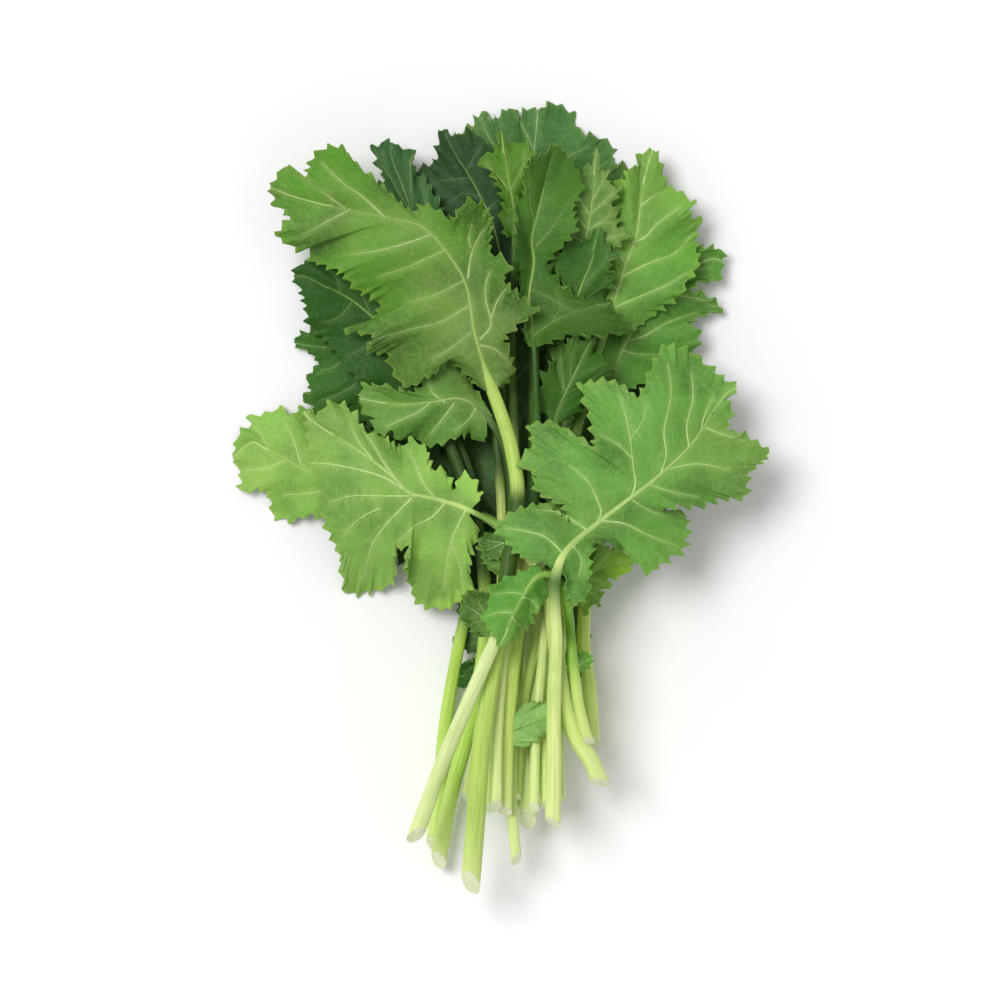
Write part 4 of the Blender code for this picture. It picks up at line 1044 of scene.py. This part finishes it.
def leaf_material(leaf, face):
    """The blade's skin: its green in patches of two depths, paler along the veins, with a net of fine
    veins, and yellower at the teeth. The underside is greyer and its net stands out more."""
    tree = Tree(f"{leaf.name}_{face}")
    main = leaf.colour if face == "upper" else blend(leaf.colour, (150, 172, 118), 0.35)
    deep = blend(main, (26, 68, 18), leaf.depth)
    share = lift(main)
    pale = blend(main, (206, 222, 140), 0.6 * share)
    patches = tree.step(tree.noise(34.0, 3.0), 0.38, 0.66)
    along = tree.step(tree.value("along"), 0.15, 0.75)
    colour = tree.mix(tree.step(tree.value("rim"), 0.0, 0.8), linear(main), linear(leaf.margin or main))
    colour = tree.mix(along, colour, linear(leaf.tip or main))
    for number, frill in enumerate(leaf.frills):
        here = tree.step(tree.value("along"), -0.4 - number, -0.6 - number)
        colour = tree.mix(here, colour, linear(frill))
    colour = tree.mix(patches * 0.75, colour, linear(deep))
    olive = tree.step(tree.noise(19.0, 2.0, roughness=0.4), 0.45, 0.7)
    colour = tree.mix(olive * 0.3, colour, linear(blend(main, (168, 182, 96), 0.6 * share)))
    freckle = tree.step(tree.noise(420.0, 2.0), 0.4, 0.7)
    colour = tree.mix(freckle * 0.16, colour, linear(blend(main, (190, 214, 110), 0.5 * share)))
    net = tree.step(tree.cells(300.0), 0.09, 0.0)
    coarse_net = tree.step(tree.cells(105.0), 0.045, 0.0)
    colour = tree.mix((net * 0.12 + coarse_net * 0.13).clamp(), colour, linear(pale))
    near = tree.value("vein")
    colour = tree.mix(near * 0.34, colour, linear(pale))
    edge = tree.step(tree.value("rim"), 0.93, 1.0)
    colour = tree.mix(edge * 0.4, colour, linear(blend(main, (172, 190, 70), 0.5 * share)))
    gloss = 0.46 + 0.14 * tree.noise(160.0)
    relief = (tree.cells(190.0) * 1.2).clamp() * 0.6 + tree.noise(700.0, 2.0) * 0.25 - net * 0.3
    return tree.finish(colour, gloss, relief, 0.0004 if face == "upper" else 0.0007, shine=0.22)


def stem_material(leaf, start):
    """The stalk's skin: pale green in fine lengthwise streaks, greener past the start of the blade,
    and a darker green of painted shade where it runs under the pile.
    """
    tree = Tree(f"{leaf.name}_stem")
    main = leaf.stem
    skin = tree.node("ShaderNodeCombineXYZ", [tree.value("vein"), tree.value("rim"),
                                              tree.value("along") * 0.012 + float(leaf.seed)])
    streaks = tree.noise(3.0, 3.0, skin, 0.6)
    fine = tree.noise(9.0, 2.0, skin)
    colour = tree.mix(tree.step(streaks, 0.35, 0.65), linear(blend(main, (104, 150, 40), 0.2), 1.08),
                      linear(main, 1.12))
    colour = tree.mix(tree.step(fine, 0.5, 0.75) * 0.5, colour,
                      linear(blend(main, (232, 240, 178), 0.6), 1.1))
    patch = tree.step(tree.noise(30.0, 2.0), 0.5, 0.75)
    colour = tree.mix(patch * 0.3, colour, linear(blend(main, (128, 168, 56), 0.6)))
    end = tree.step(tree.value("along"), 50.0, 0.0)
    colour = tree.mix(end * 0.5, colour, linear((222, 236, 160), 1.05))
    # painted shade: a darker green over the stretch of stalk that runs under the pile
    if leaf.shaded:
        back, front = leaf.shade
        place = tree.value("along")
        under = (tree.step(place, start - back, start - back + 25.0)
                 * tree.step(place, start - front + 12.0, start - front))
        colour = tree.mix(under, colour, linear(leaf.shaded))
    rib = tree.step(tree.value("along"), start - 6.0, start + 30.0)
    colour = tree.mix(rib * 0.8, colour, linear(blend(leaf.colour, (208, 226, 138), 0.55)))
    return tree.finish(colour, 0.36 + 0.14 * fine, streaks * 0.7 + fine * 0.3, 0.0005, shine=0.28)


def cut_material():
    """The cut face: whitish pith with fine wet grain."""
    tree = Tree("cut_end")
    grain = tree.noise(1500.0, 3.0)
    colour = tree.mix(tree.step(grain, 0.35, 0.7), linear((216, 228, 168)), linear((242, 247, 218)))
    return tree.finish(colour, 0.35 + 0.1 * grain, grain, 0.0003)


def vein_material(leaf):
    """A raised vein: pale yellow-green, a little mottled."""
    tree = Tree(f"{leaf.name}_vein")
    main = blend(leaf.colour, (214, 232, 160), 0.68 * lift(leaf.colour))
    mottle = tree.noise(260.0, 2.0)
    colour = tree.mix(tree.step(mottle, 0.35, 0.7), linear(main), linear(blend(main, leaf.colour, 0.3)))
    return tree.finish(colour, 0.4 + 0.1 * mottle, mottle, 0.0002)


def lie_between(maps, number, grid):
    """Keeps a grid of skin points between the leaf's neighbours."""
    low, high = maps.room(number, grid)
    middle = (low + high) / 2
    low, high = np.minimum(low, np.where(low > high, middle, low)), np.where(low > high, middle, high)
    grid[..., 2] = np.clip(grid[..., 2], low, high)


def add_leaflets(build, number, plan, solid, maps, rng):
    """Adds a leaf's leaflets from the cut end up: small toothed blades, narrower at both ends of their
    roots. Gives their veins, each (width, points)."""
    roots = []
    for side in SIDES:
        has = plan.has[side][:plan.first_blade]
        roots += [(first, side) for first in np.flatnonzero(has & ~np.concatenate([[False], has[:-1]]))]
    veins = []
    for which, (first, side) in enumerate(sorted(roots)):
        lanes = plan.lanes[side][:, first:first + len(LEAFLET_SHARES)]
        stations = np.concatenate([lanes, top_height(solid, lanes)[..., None]], axis=-1)
        t = np.linspace(0, len(LEAFLET_SHARES) - 1, LEAFLET_ROWS)
        leaflet = across_lanes(np.stack([through(lane, t) for lane in stations]))
        share = t / t[-1]
        shrink = LEAFLET_SHRINK * np.abs(2 * share - 1) ** 3
        leaflet = leaflet - shrink[:, None, None] * (leaflet - leaflet[:, :1])
        add_teeth(leaflet, side, rng, *LEAFLET_TEETH)
        spacing, height = LEAFLET_WAVE
        wave = wander(rng, arc(leaflet[:, -1, :2]), spacing)
        leaflet[..., 2] += height * wave[:, None] * LANES**2
        lines = []
        for root, aim, width in LEAFLET_VEINS:
            w = np.linspace(root, 0.85, 12)
            path = 0.5 + (aim - 0.5) * ((w - root) / (1 - root)) ** 0.8
            lines.append((width, spot(leaflet, share, path, LANES, w)[:, :2]))
        edge = LANES
        if side == LEFT:
            leaflet, edge = leaflet[:, ::-1], LANES[::-1]
        lie_between(maps, number, leaflet)
        values = np.zeros(leaflet.shape)
        values[..., 1] = edge
        values[..., 2] = -1 - which
        add_shell(build, leaflet, BLADE_THICKNESS, values)
        cloth = Cloth(leaflet)
        veins += [(width, cloth.drape(line, VEIN_RAISED)) for width, line in lines]
    return veins


def add_stalk(build, leaf, blade):
    """Adds the stalk and the rib in one rod, cut aslant at its root and narrower from the blade on."""
    distances = np.arange(0, blade.wings.foot(1.0), STALK_RINGS)
    r, _, crown = rib_section(leaf, blade.wings, distances)
    centre = np.concatenate([blade.route.at(distances), blade.spine_height(distances)[:, None]], axis=1)
    rng = np.random.default_rng(leaf.seed + 100)
    slant, lean = rng.uniform(*CUT_SLANTS), rng.uniform(*CUT_LEANS)
    kept, before = leaf.rib
    narrow = 1 - (1 - kept) * smoothstep((distances - blade.wings.start + before) / NARROWING)
    add_tube(build, centre, r * narrow, crown * (0.4 + 0.6 * narrow), r, SKIN, ridges=STALK_RIDGES,
             sides=20, slant=slant, lean=lean)


def make_leaf(number, leaf, maps, cut):
    """The leaf's blade piece, and its stalk piece with the rib and the veins."""
    route = Route(leaf.route)
    wings = Wings(leaf, route)
    plan = Plan(leaf, route, wings)
    solid = node_points(leaf.name)
    blade = Blade(leaf, route, wings, plan, solid)
    rng = np.random.default_rng(leaf.seed + 500)
    grid = blade.grid(HIDDEN_STEP if leaf.hidden else MARGIN_STEP)
    half = len(LANES)
    left, right = grid[:, :half][:, ::-1], grid[:, half + 1:]  # from the rib outwards
    add_teeth(left, LEFT, rng, *TEETH)
    add_teeth(right, RIGHT, rng, *TEETH)
    right[-1] = left[-1]
    veins = drawn_veins(leaf) if leaf.veins else ruled_veins(blade, grid, rng)
    spine = route.at(wings.foot(np.linspace(0, 1, 60)))
    tail = grid[-1, half::-1, :2]
    lines = [line for _, line in veins] + [spine, tail]
    across = np.concatenate([LANES[::-1], [0], LANES])
    bend, glow = VEIN_REACHES
    near = near_line(grid[..., :2], lines, bend)
    ruffle(left, rng)
    ruffle(right, rng)
    away = smoothstep(across / 0.15) * smoothstep((1.02 - across) / 0.2)
    grid[..., 2] += (PUCKER * (1 - near) - HOLLOW) * away
    lie_between(maps, number, grid)
    pale = near_line(grid[..., :2], lines, glow)
    along = blade.t[:, None] / blade.rows
    build = Build()
    values = np.stack([pale, np.broadcast_to(across, pale.shape), np.broadcast_to(along, pale.shape)], -1)
    add_shell(build, grid, BLADE_THICKNESS, values, seam=True)
    leaflet_veins = add_leaflets(build, number, plan, solid, maps, rng)
    short = leaf.name.replace("leaf_", "")
    blade_piece = build.make(f"blade_{short}", [leaf_material(leaf, face) for face in FACES])

    build = Build()
    add_stalk(build, leaf, blade)
    cloth = Cloth(grid)
    tail = cloth.drape(np.vstack([spine[-2:], tail[1:]]))
    reach = np.linspace(0, 1, len(tail))
    add_tube(build, tail, 0.5 - 0.3 * reach, 0.35 - 0.2 * reach, 0.2, VEIN, sides=6)
    for width, line in veins:
        add_vein(build, cloth.drape(line, VEIN_RAISED), VEIN_WIDENING * width)
    for width, line in leaflet_veins:
        add_vein(build, line, width)
    stalk_piece = build.make(f"stalk_{short}", [stem_material(leaf, wings.start), cut, vein_material(leaf)])
    for piece in (blade_piece, stalk_piece):
        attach(piece, "root")
        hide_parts(leaf.name)


def floor_and_light():
    """A near-white floor, a white sky and one broad soft lamp high on the left."""
    tree = Tree("floor")
    grain = tree.noise(30.0)
    colour = tree.mix(grain, (0.95, 0.95, 0.95, 1), (0.97, 0.97, 0.97, 1))
    material = tree.finish(colour, 0.9, grain, 0.0001)
    mesh = bpy.data.meshes.new("floor")
    corners = [(x * FLOOR_HALF, y * FLOOR_HALF, 0) for x, y in ((-1, -1), (1, -1), (1, 1), (-1, 1))]
    mesh.from_pydata(corners, [], [(0, 1, 2, 3)])
    mesh.materials.append(material)
    floor = bpy.data.objects.new("floor", mesh)
    bpy.context.scene.collection.objects.link(floor)
    world = bpy.data.worlds.new("sky")
    bpy.context.scene.world = world
    world.use_nodes = True
    sky = world.node_tree.nodes["Background"]
    sky.inputs["Color"].default_value = (1, 1, 1, 1)
    sky.inputs["Strength"].default_value = SKY_STRENGTH
    sun = bpy.data.lights.new("lamp", "SUN")
    sun.energy = SUN_STRENGTH
    sun.angle = SUN_WIDTH
    lamp = bpy.data.objects.new("lamp", sun)
    lamp.rotation_euler = SUN_TURN
    bpy.context.scene.collection.objects.link(lamp)


def camera():
    """Straight down from far above, so that the sheet's squares keep their size at any height."""
    data = bpy.data.cameras.new("camera")
    data.sensor_width = 36.0
    data.clip_end = 20.0
    distance, width, middle = 5.0, 0.5, 0.045
    data.lens = data.sensor_width * (distance - middle) / width
    made = bpy.data.objects.new("camera", data)
    made.location = (0, -0.001, distance)
    bpy.context.scene.collection.objects.link(made)
    bpy.context.scene.camera = made


def main():
    maps = HeightMaps([leaf.name for leaf in LEAVES])
    cut = cut_material()
    for number, leaf in enumerate(LEAVES):
        make_leaf(number, leaf, maps, cut)
    floor_and_light()
    camera()
    bpy.context.scene.view_settings.view_transform = "Standard"
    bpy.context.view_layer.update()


main()
